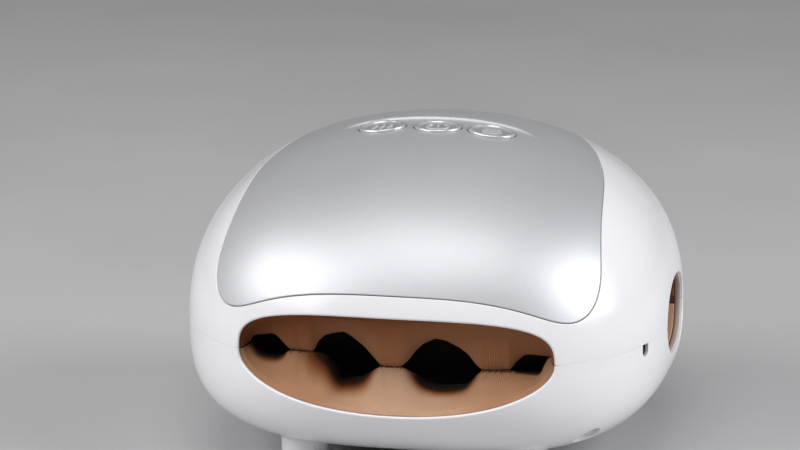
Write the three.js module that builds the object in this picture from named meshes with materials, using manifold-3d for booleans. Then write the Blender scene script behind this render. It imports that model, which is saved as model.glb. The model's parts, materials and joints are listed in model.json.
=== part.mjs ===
// Hand massager: a domed case with a finger slot in front, a wrist opening
// behind, thumb openings on both sides, and air bags, pump, valves, battery
// and controls inside. Millimetres, +Z up, -Y front, origin on the floor
// under the middle of the case.
import * as THREE from 'three';
import { mergeVertices } from 'three/addons/utils/BufferGeometryUtils.js';
import Module from 'manifold-3d';

const wasm = await Module();
wasm.setup();

// ---------------------------------------------------------------- driving dimensions
const HALF_WIDTH = 95;        // case, side to side
const HALF_DEPTH = 92;        // case, front to back
const DOME_HEIGHT = 71.3;     // parting plane to top
const BELLY_DEPTH = 48.1;     // parting plane to underside
const PLAN_POWER = 2.49;      // roundness of the plan outline
const DOME_POWER = 2.36, BELLY_POWER = 3.02;
const DOME_SHIFT = 7.7, BELLY_SHIFT = 5.7;      // dome and belly lean to the back
const DOME_PLAN = -0.46, BELLY_PLAN = 0.84;     // how the plan outline changes with height
const FOOT_DROP = 6.0;        // floor to underside
const WALL = 2.5;             // case wall
const PANEL = 2.0;            // top panel
const GAP = 0.3;              // clearance between touching pieces
const SLOT = { a: 60.4, top: 17.7, nTop: 2.7, bottom: 19.3, nBottom: 2.1 };
const WRIST = { a: 60.5, top: 30, nTop: 2.5, bottom: 24, nBottom: 2.5 };
const THUMB = { y: 3, z: 1, a: 22, b: 16, n: 2.15 };
const KEY_X = 21.7, KEY_Y = -0.5;               // key centres
const KEY = { a: 9.8, b: 8.0, n: 1.9, travel: 0.6 };
const WELL_X = 68.5, WELL_FRONT = -54.5, WELL_REAR = 56.5, WELL_R = 5.0;
const FOOT_X = 43, FOOT_FRONT = -48, FOOT_REAR = 52;
const PORT = { x: 89.2, y: -42, turn: -19.5, w: 6.2, h: 5.9 };
const FLOOR = -(BELLY_DEPTH + FOOT_DROP);
const Y_SHIFT = 0.27;        // puts the origin under the middle of the case

const COLOURS = {
  shell: 0xeceef2, panel: 0xb4b7bb, key: 0xb9bcc0, fabric: 0xb58d68, ring: 0xd6d6da,
  board: 0x1f5a3a, black: 0x1b1b1d, steel: 0xa8abb0, copper: 0xb06a3a, bag: 0x3c4046,
  rubber: 0x2a2a2c, tube: 0xd9dde0, film: 0x40362e, cell: 0x2b4f8f, frame: 0x55585d, brass: 0xb08d45,
};

// ---------------------------------------------------------------- case surface
function bodyValue(x, y, z, d = 0) {
  const up = z > 0;
  const c = (up ? DOME_HEIGHT : BELLY_DEPTH) - d;
  const m = up ? DOME_POWER : BELLY_POWER;
  const zz = Math.min(Math.abs(z) / c, 1.5);
  const yy = y - (up ? DOME_SHIFT : BELLY_SHIFT) * zz * zz;
  const n = Math.max(PLAN_POWER + (up ? DOME_PLAN : BELLY_PLAN) * zz * zz, 1.7);
  const pl = (Math.abs(x / (HALF_WIDTH - d)) ** n + Math.abs(yy / (HALF_DEPTH - d)) ** n) ** (1 / n);
  return (pl ** m + zz ** m) ** (1 / m);
}
// point where a ray from `from` along `dir` leaves the case surface set in by d
function bodyHit(from, dir, d = 0) {
  let lo = 0, hi = 200;
  for (let i = 0; i < 46; i++) {
    const t = (lo + hi) / 2;
    if (bodyValue(from.x + t * dir.x, from.y + t * dir.y, from.z + t * dir.z, d) < 1) lo = t; else hi = t;
  }
  return from.clone().addScaledVector(dir, lo);
}
function bodyNormal(p) {
  const e = 0.05;
  const v = (x, y, z) => bodyValue(x, y, z);
  return new THREE.Vector3(
    v(p.x + e, p.y, p.z) - v(p.x - e, p.y, p.z),
    v(p.x, p.y + e, p.z) - v(p.x, p.y - e, p.z),
    v(p.x, p.y, p.z + e) - v(p.x, p.y, p.z - e)).normalize();
}

// ---------------------------------------------------------------- solids and booleans
function solid(geometry) {
  let g = geometry.clone();
  for (const k of Object.keys(g.attributes)) if (k !== 'position') g.deleteAttribute(k);
  g = mergeVertices(g, 1e-4);
  return new wasm.Manifold(new wasm.Mesh({
    numProp: 3,
    vertProperties: new Float32Array(g.attributes.position.array),
    triVerts: new Uint32Array(g.index.array),
  }));
}
function geometryOf(man) {
  const mesh = man.getMesh();
  let g = new THREE.BufferGeometry();
  g.setAttribute('position', new THREE.BufferAttribute(new Float32Array(mesh.vertProperties), 3));
  g.setIndex(new THREE.BufferAttribute(new Uint32Array(mesh.triVerts), 1));
  g = mergeVertices(g, 1e-5);
  // two faces on the same three points enclose nothing: both go
  const idx = g.index.array, count = new Map();
  const keyOf = (i) => [idx[i], idx[i + 1], idx[i + 2]].sort((a, b) => a - b).join();
  for (let i = 0; i < idx.length; i += 3) count.set(keyOf(i), (count.get(keyOf(i)) ?? 0) + 1);
  const keep = [];
  for (let i = 0; i < idx.length; i += 3) if (count.get(keyOf(i)) === 1) keep.push(idx[i], idx[i + 1], idx[i + 2]);
  g.setIndex(keep);
  g.computeVertexNormals();
  return g;
}
// the largest body of a cut result, without specks
const whole = (man) => man.decompose().reduce((a, b) => (Math.abs(b.volume()) > Math.abs(a.volume()) ? b : a));
const at = (g, x, y, z) => g.translate(x, y, z);
const box = (x0, x1, y0, y1, z0, z1) => solid(at(new THREE.BoxGeometry(x1 - x0, y1 - y0, z1 - z0), (x0 + x1) / 2, (y0 + y1) / 2, (z0 + z1) / 2));
const rodZ = (r, x, y, z0, z1, seg = 16, r2 = r) => solid(at(new THREE.CylinderGeometry(r2, r, z1 - z0, seg).rotateX(Math.PI / 2), x, y, (z0 + z1) / 2));
const rodX = (r, x0, x1, y, z, seg = 16) => solid(at(new THREE.CylinderGeometry(r, r, x1 - x0, seg).rotateZ(Math.PI / 2), (x0 + x1) / 2, y, z));
const rodY = (r, x, y0, y1, z, seg = 16) => solid(at(new THREE.CylinderGeometry(r, r, y1 - y0, seg), x, (y0 + y1) / 2, z));

function bodySolid(d, lon = 28, lat = 14) {
  const g = new THREE.SphereGeometry(1, lon, lat).rotateX(Math.PI / 2);
  const p = g.attributes.position;
  const o = new THREE.Vector3();
  for (let i = 0; i < p.count; i++) {
    let z = p.getZ(i);
    if (Math.abs(z) < 1e-6) z = 0;
    const dir = new THREE.Vector3(p.getX(i) * HALF_WIDTH, p.getY(i) * HALF_DEPTH, z * (z > 0 ? DOME_HEIGHT : BELLY_DEPTH)).normalize();
    const h = bodyHit(o, dir, d);
    p.setXYZ(i, Math.abs(h.x) < 1e-9 ? 0 : h.x, h.y, z === 0 ? 0 : h.z);
  }
  return solid(g);
}
function oval(a, b, n, count, grow = 0) {
  const pts = [];
  for (let i = 0; i < count; i++) {
    const t = (i / count) * 2 * Math.PI, c = Math.cos(t), s = Math.sin(t);
    pts.push(new THREE.Vector2(Math.sign(c) * (a + grow) * Math.abs(c) ** (2 / n), Math.sign(s) * (b + grow) * Math.abs(s) ** (2 / n)));
  }
  return pts;
}
// outline in the XZ plane whose upper and lower halves have their own height and power
function openingOutline(o, grow, count) {
  const pts = [];
  for (let i = 0; i < count; i++) {
    const t = (i / count) * 2 * Math.PI, c = Math.cos(t), s = Math.sin(t);
    const n = s >= 0 ? o.nTop : o.nBottom, b = (s >= 0 ? o.top : o.bottom) + grow;
    pts.push(new THREE.Vector2(Math.sign(c) * (o.a + grow) * Math.abs(c) ** (2 / n), Math.sign(s) * b * Math.abs(s) ** (2 / n)));
  }
  return pts;
}
const extrude = (pts, depth, holes = []) => {
  const s = new THREE.Shape(pts);
  for (const h of holes) s.holes.push(new THREE.Path(h));
  return new THREE.ExtrudeGeometry(s, { depth, bevelEnabled: false, curveSegments: 12 });
};
// prism of an XZ outline from y0 to y1
const prismY = (pts, y0, y1) => solid(at(extrude(pts, y1 - y0).rotateX(Math.PI / 2), 0, y1, 0));
// prism of a YZ outline from x0 to x1
const prismX = (pts, x0, x1) => solid(at(extrude(pts, x1 - x0).rotateX(Math.PI / 2).rotateZ(Math.PI / 2), x0, 0, 0));

const group = new THREE.Group();
const frame = new THREE.Group();
frame.position.set(0, Y_SHIFT, -FLOOR);
group.add(frame);
function add(name, what, colour, roughness = 0.5, metalness = 0, parent = frame) {
  const g = geometryOf(whole(what));
  const mesh = new THREE.Mesh(g, new THREE.MeshStandardMaterial({ color: colour, roughness, metalness }));
  mesh.name = name;
  parent.add(mesh);
  return mesh;
}

// ---------------------------------------------------------------- case bodies used for cutting
const BODY = bodySolid(0, 36, 18);
const IN_WALL = bodySolid(WALL);
const IN_PANEL = bodySolid(PANEL, 36, 18);
const IN_RECESS = bodySolid(PANEL + GAP, 36, 18);
const IN_LEDGE = bodySolid(PANEL + GAP + 2.2, 36, 18);
const IN_RING = bodySolid(WALL + GAP);
const IN_RING2 = bodySolid(WALL + GAP + 2.4);
const IN_SLEEVE = bodySolid(WALL + GAP + 2.4 + GAP);
const IN_LIP = bodySolid(1.2);
const ABOVE = box(-200, 200, -200, 200, GAP / 2, 200);
const BELOW = box(-200, 200, -200, 200, -200, -GAP / 2);

// top panel outline: points on the case for the right half, front to back
const PANEL_POINTS = [
  [0, -86.7, 26.4], [16, -86.2, 26.2], [31.2, -84.5, 25.0], [44.9, -81.6, 22.2], [54.5, -78.2, 18.6],
  [61.5, -75.0, 15.7], [66.5, -72.0, 14.6], [70.2, -68.4, 15.8], [72.6, -64.6, 19.0], [74.0, -59, 25.5],
  [72.8, -49, 37.5], [71.0, -37.5, 45.6], [69.2, -23.7, 51.2], [66.4, -5.7, 55.6], [61.4, 12.3, 59.1],
  [55.6, 27.0, 60.5], [47.0, 43, 60.5], [36, 54, 58], [20, 61, 57], [0, 63.5, 56],
];
const PANEL_APEX = new THREE.Vector3(0, -8, -5);
const panelCurve = new THREE.CatmullRomCurve3([
  ...PANEL_POINTS.map(([x, y, z]) => new THREE.Vector3(x, y, z)),
  ...PANEL_POINTS.slice(1, -1).reverse().map(([x, y, z]) => new THREE.Vector3(-x, y, z)),
], true, 'centripetal');
const PANEL_COUNT = 36;
panelCurve.arcLengthDivisions = 1200;
const panelHalf = panelCurve.getSpacedPoints(PANEL_COUNT).slice(0, PANEL_COUNT / 2 + 1)
  .map((p) => bodyHit(PANEL_APEX, p.clone().sub(PANEL_APEX).normalize()));
panelHalf[0].x = 0;
panelHalf[PANEL_COUNT / 2].x = 0;
const panelEdge = [...panelHalf, ...panelHalf.slice(1, -1).reverse().map((p) => new THREE.Vector3(-p.x, p.y, p.z))];
// a cone from inside the case through the panel outline, grown along the surface
function panelCone(grow) {
  const g = new THREE.ConeGeometry(1, 1, PANEL_COUNT, 1);
  const ring = panelEdge.map((p, i) => {
    const t = panelEdge[(i + 1) % PANEL_COUNT].clone().sub(panelEdge[(i + PANEL_COUNT - 1) % PANEL_COUNT]).normalize();
    const out = t.cross(bodyNormal(p)).normalize();
    return PANEL_APEX.clone().add(p.clone().addScaledVector(out, grow).sub(PANEL_APEX).multiplyScalar(1.7));
  });
  const p = g.attributes.position;
  for (let i = 0; i < p.count; i++) {
    const x = p.getX(i), y = p.getY(i), z = p.getZ(i);
    if (y > 0) p.setXYZ(i, PANEL_APEX.x, PANEL_APEX.y, PANEL_APEX.z);
    else if (Math.hypot(x, z) < 0.5) p.setXYZ(i, 0, -8, 140);
    else {
      const k = ((Math.round((Math.atan2(x, z) / (2 * Math.PI)) * PANEL_COUNT) % PANEL_COUNT) + PANEL_COUNT) % PANEL_COUNT;
      p.setXYZ(i, ring[k].x, ring[k].y, ring[k].z);
    }
  }
  const m = solid(g);
  if (m.volume() > 0) return m;
  g.index.array.reverse();
  return solid(g);
}

// frame of a key: on the case surface, its Z along the surface normal
function keyFrame(x) {
  const p = bodyHit(new THREE.Vector3(x, KEY_Y, 0), new THREE.Vector3(0, 0, 1));
  const n = bodyNormal(p);
  const q = new THREE.Quaternion().setFromUnitVectors(new THREE.Vector3(0, 0, 1), n);
  return { p, n, q, m: new THREE.Matrix4().compose(p, q, new THREE.Vector3(1, 1, 1)) };
}
const KEYS = [-KEY_X, 0.3, KEY_X].map(keyFrame);

// ---------------------------------------------------------------- cutters shared by the case
const slotCut = prismY(openingOutline(SLOT, 0, 28), -130, -40);
const wristCut = prismY(openingOutline(WRIST, 0, 24), 50, 130);
const thumbOutline = (grow, count = 18) => oval(THUMB.a, THUMB.b, THUMB.n, count, grow).map((v) => new THREE.Vector2(v.x + THUMB.y, v.y + THUMB.z));
const thumbCut = prismX(thumbOutline(0), 60, 130).add(prismX(thumbOutline(0), -130, -60));
const wells = [[1, WELL_FRONT], [-1, WELL_FRONT], [1, WELL_REAR], [-1, WELL_REAR]];
const portDir = new THREE.Vector3(Math.cos(PORT.turn * Math.PI / 180), Math.sin(PORT.turn * Math.PI / 180), 0);
const portMatrix = new THREE.Matrix4().compose(new THREE.Vector3(PORT.x, PORT.y, 0), new THREE.Quaternion().setFromAxisAngle(new THREE.Vector3(0, 0, 1), PORT.turn * Math.PI / 180), new THREE.Vector3(1, 1, 1));
const portPiece = (man) => man.transform(portMatrix.elements.slice());

// ---------------------------------------------------------------- upper shell
{
  let s = BODY.intersect(ABOVE).subtract(IN_WALL);
  const ledge = IN_PANEL.subtract(IN_LEDGE).intersect(ABOVE).intersect(panelCone(2.6));
  s = s.add(ledge);
  for (const [sx, y] of wells) s = s.add(rodZ(4, sx * WELL_X, y, -14.7, 60, 8).intersect(IN_PANEL));
  s = s.subtract(panelCone(0.35).subtract(IN_RECESS));
  s = s.subtract(panelCone(-5.5).subtract(bodySolid(PANEL + GAP + 3.4)));
  s = s.subtract(slotCut).subtract(wristCut).subtract(thumbCut);
  for (const [sx, y] of wells) s = s.subtract(rodZ(1.6, sx * WELL_X, y, -16, 2, 8));
  add('upper_shell', s, COLOURS.shell, 0.2);
}
// ---------------------------------------------------------------- lower shell
{
  let s = BODY.intersect(BELOW).subtract(IN_WALL);
  s = s.subtract(slotCut).subtract(wristCut).subtract(thumbCut);
  for (const y of [FOOT_FRONT, FOOT_REAR]) for (const sx of [1, -1]) {
    s = s.add(rodZ(8.8, sx * FOOT_X, y, FLOOR + 1.0, -36, 14, 9.3).subtract(IN_WALL));
  }
  for (const [sx, y] of wells) {
    s = s.add(rodZ(WELL_R + 1.7, sx * WELL_X, y, -60, -15, 12).intersect(BODY));
    s = s.subtract(rodZ(WELL_R, sx * WELL_X, y, -60, -17, 12)).subtract(rodZ(1.8, sx * WELL_X, y, -20, -10, 8));
  }
  for (const y of [FOOT_FRONT, FOOT_REAR]) for (const sx of [1, -1]) {
    s = s.subtract(rodZ(7.5, sx * FOOT_X, y, FLOOR - 1, FLOOR + 2.4, 14));
  }
  const notch = new THREE.Shape();
  const w = PORT.w / 2;
  notch.moveTo(-w, 1); notch.lineTo(-w, -PORT.h + w);
  notch.absarc(0, -PORT.h + w, w, Math.PI, 2 * Math.PI, false);
  notch.lineTo(w, 1);
  const cut = solid(at(new THREE.ExtrudeGeometry(notch, { depth: 14, bevelEnabled: false, curveSegments: 8 }).rotateX(Math.PI / 2).rotateZ(Math.PI / 2), -7, 0, 0));
  s = s.subtract(portPiece(cut));
  add('lower_shell', s, COLOURS.shell, 0.2);
}
// ---------------------------------------------------------------- top panel and keys
{
  let s = BODY.subtract(IN_PANEL).intersect(panelCone(0));
  // crescent ridge behind the keys
  const arc = [];
  for (let i = 0; i <= 14; i++) {
    const x = -37 + (74 * i) / 14;
    const y = 15.2 - 11 * (x / 37) ** 2;
    const p = bodyHit(new THREE.Vector3(x, y, 0), new THREE.Vector3(0, 0, 1));
    arc.push(p.addScaledVector(bodyNormal(p), -0.35 - 0.9 * Math.abs(x / 37) ** 6));
  }
  const ridge = new THREE.ExtrudeGeometry(new THREE.Shape(oval(1.15, 1.15, 2, 6)), { steps: 14, bevelEnabled: false, extrudePath: new THREE.CatmullRomCurve3(arc) });
  s = s.add(solid(ridge));
  for (const k of KEYS) {
    s = s.subtract(solid(at(extrude(oval(KEY.a, KEY.b, KEY.n, 16), 12), 0, 0, -6).applyMatrix4(k.m)));
  }
  add('top_panel', s, COLOURS.panel, 0.35, 0.3);
  ['heat_button', 'power_button', 'mode_button'].forEach((name, i) => {
    const k = KEYS[i];
    let b = solid(at(extrude(oval(KEY.a, KEY.b, KEY.n, 16, -0.35), 4.2), 0, 0, -3.5));
    b = b.subtract(solid(at(extrude(oval(KEY.a, KEY.b, KEY.n, 16, -1.5), 2), 0, 0, 0.1)));
    b = b.add(solid(at(extrude(oval(KEY.a, KEY.b, KEY.n, 16, 0.6), 0.9), 0, 0, -4.1)));
    b = b.add(rodZ(1.4, 0, 0, -7.0, -3.6, 10));
    const mesh = add(name, b, COLOURS.key, 0.35, 0.3);
    mesh.position.copy(k.p);
    mesh.quaternion.copy(k.q);
  });
}
// ---------------------------------------------------------------- control board, switches, buzzer
const BOARD_TOP = 60.6;
add('control_board', box(-44, 44, -22, 20, BOARD_TOP - 1.6, BOARD_TOP), COLOURS.board, 0.5);
['heat_switch', 'power_switch', 'mode_switch'].forEach((name, i) => {
  const k = KEYS[i];
  const end = k.p.clone().addScaledVector(k.n, -6.3);
  const tip = k.p.clone().addScaledVector(k.n, -8.2);
  const top = end.z;
  let s = box(tip.x - 3.2, tip.x + 3.2, tip.y - 3.2, tip.y + 3.2, BOARD_TOP + 0.25, top);
  s = s.subtract(rodZ(2.2, tip.x, tip.y, top - 1.8, top + 2, 12));
  add(name, s, COLOURS.black, 0.5);
});
add('buzzer', rodZ(4.3, -11, 13, BOARD_TOP + 0.25, BOARD_TOP + 3.6, 14).subtract(rodZ(0.9, -11, 13, BOARD_TOP + 2.4, BOARD_TOP + 5, 6)), COLOURS.black, 0.5);

// ---------------------------------------------------------------- inner frames
const wellKeepOut = (r) => wells.map(([sx, y]) => rodZ(r, sx * WELL_X, y, -70, 70, 18)).reduce((a, b) => a.add(b));
{
  const outer = [[-67, 17.5], [-60, 25.8], [-50, 31], [-38, 34], [38, 34], [50, 31], [60, 25.8], [67, 17.5]];
  const inner = [[64.9, 16.4], [58.5, 24], [49, 28.9], [37.6, 31.8], [-37.6, 31.8], [-49, 28.9], [-58.5, 24], [-64.9, 16.4]];
  let s = prismY([...outer, ...inner].map(([x, z]) => new THREE.Vector2(x, z)), -58, 62);
  for (const x of [-41.3, 41.3]) for (const y of [-17, 15]) s = s.add(rodZ(2.5, x, y, 31.5, BOARD_TOP - 1.9, 8));
  s = s.subtract(wellKeepOut(7.3)).intersect(bodySolid(6));
  add('upper_frame', s, COLOURS.frame, 0.6);
}
{
  const inner = [[-66, -13], [-60, -20.5], [-50, -25.5], [-38, -27.8], [38, -27.8], [50, -25.5], [60, -20.5], [66, -13]];
  const outer = [[67.6, -14.6], [61.2, -22.2], [50.6, -27.6], [38.3, -30], [-38.3, -30], [-50.6, -27.6], [-61.2, -22.2], [-67.6, -14.6]];
  let s = prismY([...inner, ...outer].map(([x, z]) => new THREE.Vector2(x, z)), -58, 62);
  for (const x of [-44, 44]) for (const y of [-22, 24]) s = s.add(rodZ(3.4, x, y, -44, -28.5, 12).intersect(bodySolid(WALL + 0.5)));
  s = s.subtract(wellKeepOut(7.3)).intersect(bodySolid(WALL + 0.5));
  add('lower_frame', s, COLOURS.frame, 0.6);
}
// ---------------------------------------------------------------- air bags, heating film, sensor
function pillow(x0, x1, y0, y1, z0, z1) {
  const g = new THREE.SphereGeometry(1, 14, 6).rotateX(Math.PI / 2);
  const p = g.attributes.position;
  for (let i = 0; i < p.count; i++) {
    const v = new THREE.Vector3().fromBufferAttribute(p, i);
    const n = 3.2;
    const r = (Math.abs(v.x) ** n + Math.abs(v.y) ** n + Math.abs(v.z) ** n) ** (-1 / n);
    v.multiplyScalar(r);
        p.setXYZ(i, (x0 + x1) / 2 + (v.x * (x1 - x0)) / 2, (y0 + y1) / 2 + (v.y * (y1 - y0)) / 2, (z0 + z1) / 2 + (v.z * (z1 - z0)) / 2);
  }
  return solid(g);
}
add('upper_palm_airbag', pillow(-46, 46, -14, 48, 25.3, 31.4), COLOURS.bag, 0.7);
add('upper_finger_airbag', pillow(-46, 46, -54, -16, 25.3, 31.4), COLOURS.bag, 0.7);
add('lower_palm_airbag', pillow(-46, 46, -14, 48, -27.4, -22.6), COLOURS.bag, 0.7);
add('lower_finger_airbag', pillow(-46, 46, -54, -16, -27.4, -22.6), COLOURS.bag, 0.7);
add('heating_film', box(-40, 40, -44, 44, 24.3, 24.9), COLOURS.film, 0.6);
add('temperature_sensor', rodZ(3, 0, 38, 23.55, 24.05, 14), COLOURS.brass, 0.4, 0.8);

// ---------------------------------------------------------------- lining
const TACKS = [[-37.5, -1.6], [-2.9, -5.3], [37.7, -4.8]];
const TACK_Y = -71;
const smooth = (a, b, v) => { const t = Math.min(Math.max((v - a) / (b - a), 0), 1); return t * t * (3 - 2 * t); };
function tunnel(y) {
  const w = 59 + 7 * Math.max(0, 1 - ((y - 7) / 45) ** 2);
  const waist = Math.exp(-(((y + 71) / (y < -71 ? 4.5 : 9)) ** 2));
  const hu = 17.0 + 4.6 * smooth(-70, -52, y) + 6.8 * smooth(50, 80, y);
  const hl = 18.6 + 1.8 * smooth(-70, -52, y) + 2.6 * smooth(50, 80, y);
  return { w, hu: hu - (hu - 8.6) * waist, hl: hl - (hl - 12.6) * waist, waist };
}
function liningSheet(upper, thick) {
  const W0 = 59, sOf = (x) => (2 / Math.PI) * Math.asin(Math.sign(x) * Math.abs(x / W0) ** 1.5);
  const cols = [-1, -0.86, ...[-52, -45, -37.5, -30, -20, -11, -2.9, 6, 18, 30, 37.7, 45, 52].map(sOf), 0.86, 1];
  const NX = cols.length - 1, NY = 11;
  const g = new THREE.BoxGeometry(2, 1, 1, NX, NY, 1);
  const p = g.attributes.position;
  const sgn = upper ? 1 : -1;
  const rows = [-79, -75, -71, -66, -58, -47, -33, -10, 20, 44, 63, 81];
  for (let i = 0; i < p.count; i++) {
    const s = cols[Math.round((p.getX(i) / 2 + 0.5) * NX)], j = Math.round((p.getY(i) + 0.5) * NY), far = p.getZ(i) > 0 ? 1 : 0;
    const yFront = rows[j];
    const t = tunnel(yFront);
    const n = 3, grow = far * thick;
    const phi = (s * Math.PI) / 2, c = Math.cos(phi), q = Math.sin(phi);
    const x = Math.sign(q) * (t.w + grow) * Math.abs(q) ** (2 / n);
    const h = (upper ? t.hu : t.hl) + grow;
    let z = sgn * h * Math.max(c, 0) ** (2 / n);
    z = sgn * Math.max(sgn * z, 0.2);
    for (const [tx, tz] of TACKS) {
      const k = Math.exp(-(((x - tx) / 6.5) ** 2) - ((yFront - TACK_Y) / 9) ** 2);
      const target = tz + sgn * (0.25 + grow);
      z = z * (1 - k) + target * k;
    }
    // the front and back edges follow the curve of the case
    let y = yFront;
    const lim = yFront < 0 ? -1 : 1;
    if (yFront < -60 || yFront > 60) {
      const e = bodyHit(new THREE.Vector3(x, 0, z), new THREE.Vector3(0, lim, 0), WALL + GAP + 2.4 + 1.4);
      const f = smooth(55, lim < 0 ? 79 : 81, Math.abs(yFront));
      y = yFront + (e.y - (lim < 0 ? -79 : 81)) * f;
      y = lim < 0 ? Math.max(y, e.y) : Math.min(y, e.y);
    }
    p.setXYZ(i, x, y, z);
  }
  let m = solid(g);
  if (m.volume() < 0) { g.index.array.reverse(); m = solid(g); }
  return m;
}
const sideHoles = prismX(thumbOutline(-1.2, 16), 40, 110).add(prismX(thumbOutline(-1.2, 16), -110, -40));
add('upper_lining', liningSheet(true, 1.6).subtract(sideHoles), COLOURS.fabric, 0.9);
add('lower_lining', liningSheet(false, 1.6).subtract(sideHoles), COLOURS.fabric, 0.9);
const ringBand = (outlineOut, outlineIn) => IN_RING.subtract(IN_RING2).intersect(outlineOut).subtract(outlineIn);
for (const [name, sx] of [['right', 1], ['left', -1]]) {
  const span = sx > 0 ? [68.5, 120] : [-120, -68.5];
  // the sleeve runs forward inside the ring, and the ring has a lip that lines the shell's rim
  const tube = prismX(thumbOutline(0.4), ...span).intersect(IN_SLEEVE).add(prismX(thumbOutline(-0.7), ...span).intersect(IN_RING)).subtract(prismX(thumbOutline(-1.2), ...span));
  add(`${name}_thumb_sleeve`, tube, COLOURS.fabric, 0.9);
  const wide = sx > 0 ? [70, 120] : [-120, -70];
  const lip = IN_LIP.intersect(prismX(thumbOutline(-0.1), ...wide));
  const band = IN_RING.subtract(IN_RING2).intersect(prismX(thumbOutline(4.5), ...wide));
  add(`${name}_thumb_ring`, band.add(lip.subtract(IN_RING2)).subtract(prismX(thumbOutline(-0.6), ...wide)), COLOURS.ring, 0.45);
}
add('finger_slot_ring', ringBand(prismY(openingOutline(SLOT, 4.0, 24), -120, -40), prismY(openingOutline(SLOT, -0.5, 24), -120, -40)).subtract(panelCone(3.0)), COLOURS.ring, 0.45);
add('wrist_ring', ringBand(prismY(openingOutline(WRIST, 4.0, 24), 40, 120), prismY(openingOutline(WRIST, -0.5, 24), 40, 120)), COLOURS.ring, 0.45);

// ---------------------------------------------------------------- air pump
const PUMP = { y: 35.6, z: 47.2 };
{
  let can = rodX(12, -38, -8, PUMP.y, PUMP.z, 16).subtract(rodX(10.6, -36.8, -9.2, PUMP.y, PUMP.z, 14)).subtract(rodX(3, -12, -6, PUMP.y, PUMP.z, 12));
  can = can.subtract(rodX(1.6, -40, -36, PUMP.y, PUMP.z, 10));
  add('motor_can', can, COLOURS.steel, 0.35, 0.9);
  let rotor = rodX(8.8, -33, -14, PUMP.y, PUMP.z, 14).add(rodX(1.0, -37.8, 2.5, PUMP.y, PUMP.z, 10));
  rotor = rotor.add(rodX(4.5, -4.6, 0.4, PUMP.y, PUMP.z + 0.9, 14)).add(rodX(1.2, 0.2, 3.4, PUMP.y, PUMP.z + 2.6, 8));
  add('motor_rotor', rotor, COLOURS.copper, 0.4, 0.6);
  let head = box(-7.6, 18, PUMP.y - 12, PUMP.y + 12, PUMP.z - 12, PUMP.z + 12);
  head = head.subtract(rodX(9.6, -5.6, 8, PUMP.y, PUMP.z, 14)).subtract(rodX(5.2, -10, -3, PUMP.y, PUMP.z, 14));
  head = head.add(rodX(2.1, 17.5, 24, PUMP.y, PUMP.z, 10)).subtract(rodX(1.0, 12, 26, PUMP.y, PUMP.z, 8));
  add('pump_head', head, COLOURS.black, 0.5);
  const profile = [[0, 0], [9, 0], [9, 1.2], [5.5, 1.2], [4.4, 2.6], [0, 2.6]].map(([r, h]) => new THREE.Vector2(r, h));
  const dia = at(new THREE.LatheGeometry(profile, 14).rotateZ(Math.PI / 2), 7.6, PUMP.y, PUMP.z);
  add('pump_diaphragm', solid(dia), COLOURS.rubber, 0.8);
  let cradle = box(-35, -11, PUMP.y - 13, PUMP.y + 13, 34.35, 44);
  cradle = cradle.subtract(rodX(12.35, -40, 0, PUMP.y, PUMP.z, 16));
  add('pump_cradle', cradle, COLOURS.rubber, 0.85);
}
// ---------------------------------------------------------------- solenoid valves
const lathe = (pts, x, y, z, seg = 14) => solid(at(new THREE.LatheGeometry(pts.map(([r, h]) => new THREE.Vector2(r, h)), seg).rotateX(Math.PI / 2), x, y, z));
class Helix extends THREE.Curve {
  constructor(r, h, turns) { super(); this.r = r; this.h = h; this.turns = turns; }
  getPoint(t, out = new THREE.Vector3()) {
    const a = t * this.turns * 2 * Math.PI;
    return out.set(this.r * Math.cos(a), this.r * Math.sin(a), t * this.h);
  }
}
for (const [name, x] of [['finger', -22], ['palm', 22]]) {
  const y = -36, z = 34.35;
  let yoke = box(x - 9.2, x + 9.2, y - 6, y + 6, z, z + 1.2)
    .add(box(x - 9.2, x - 8, y - 6, y + 6, z, z + 18.2)).add(box(x + 8, x + 9.2, y - 6, y + 6, z, z + 18.2))
    .add(box(x - 9.2, x + 9.2, y - 6, y + 6, z + 17, z + 18.2));
  yoke = yoke.add(rodZ(2.0, x, y, z + 1, z + 4.2, 12)).subtract(rodZ(2.8, x, y, z + 16, z + 19, 14));
  add(`${name}_valve_yoke`, yoke, COLOURS.steel, 0.4, 0.9);
  add(`${name}_valve_coil`, lathe([[2.5, 0], [7.0, 0], [7.0, 14.9], [2.5, 14.9], [2.5, 0]], x, y, z + 1.6), COLOURS.copper, 0.4, 0.6);
  add(`${name}_valve_plunger`, rodZ(2.1, x, y, z + 8.9, z + 18.6, 14).add(rodZ(3.0, x, y, z + 19.9, z + 21.1, 14)).add(rodZ(1.2, x, y, z + 18, z + 20.4, 10)), COLOURS.steel, 0.3, 0.9);
  const coil = new THREE.ExtrudeGeometry(new THREE.Shape(oval(0.3, 0.3, 2, 4)), { steps: 32, bevelEnabled: false, extrudePath: new Helix(1.55, 3.7, 3.5) });
  add(`${name}_valve_spring`, solid(at(coil, x, y, z + 4.75)), COLOURS.steel, 0.3, 0.9);
  const cap = lathe([[4.0, 0], [6.4, 0], [6.4, 5.6], [0, 5.6], [0, 4.6], [4.0, 4.6], [4.0, 0]], x, y, z + 18.5, 14)
    .add(rodY(1.7, x, y + 6, y + 11.3, z + 21, 8)).subtract(rodY(0.8, x, y + 3, y + 12, z + 21, 6));
  add(`${name}_valve_cap`, cap, COLOURS.black, 0.5);
}
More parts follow.
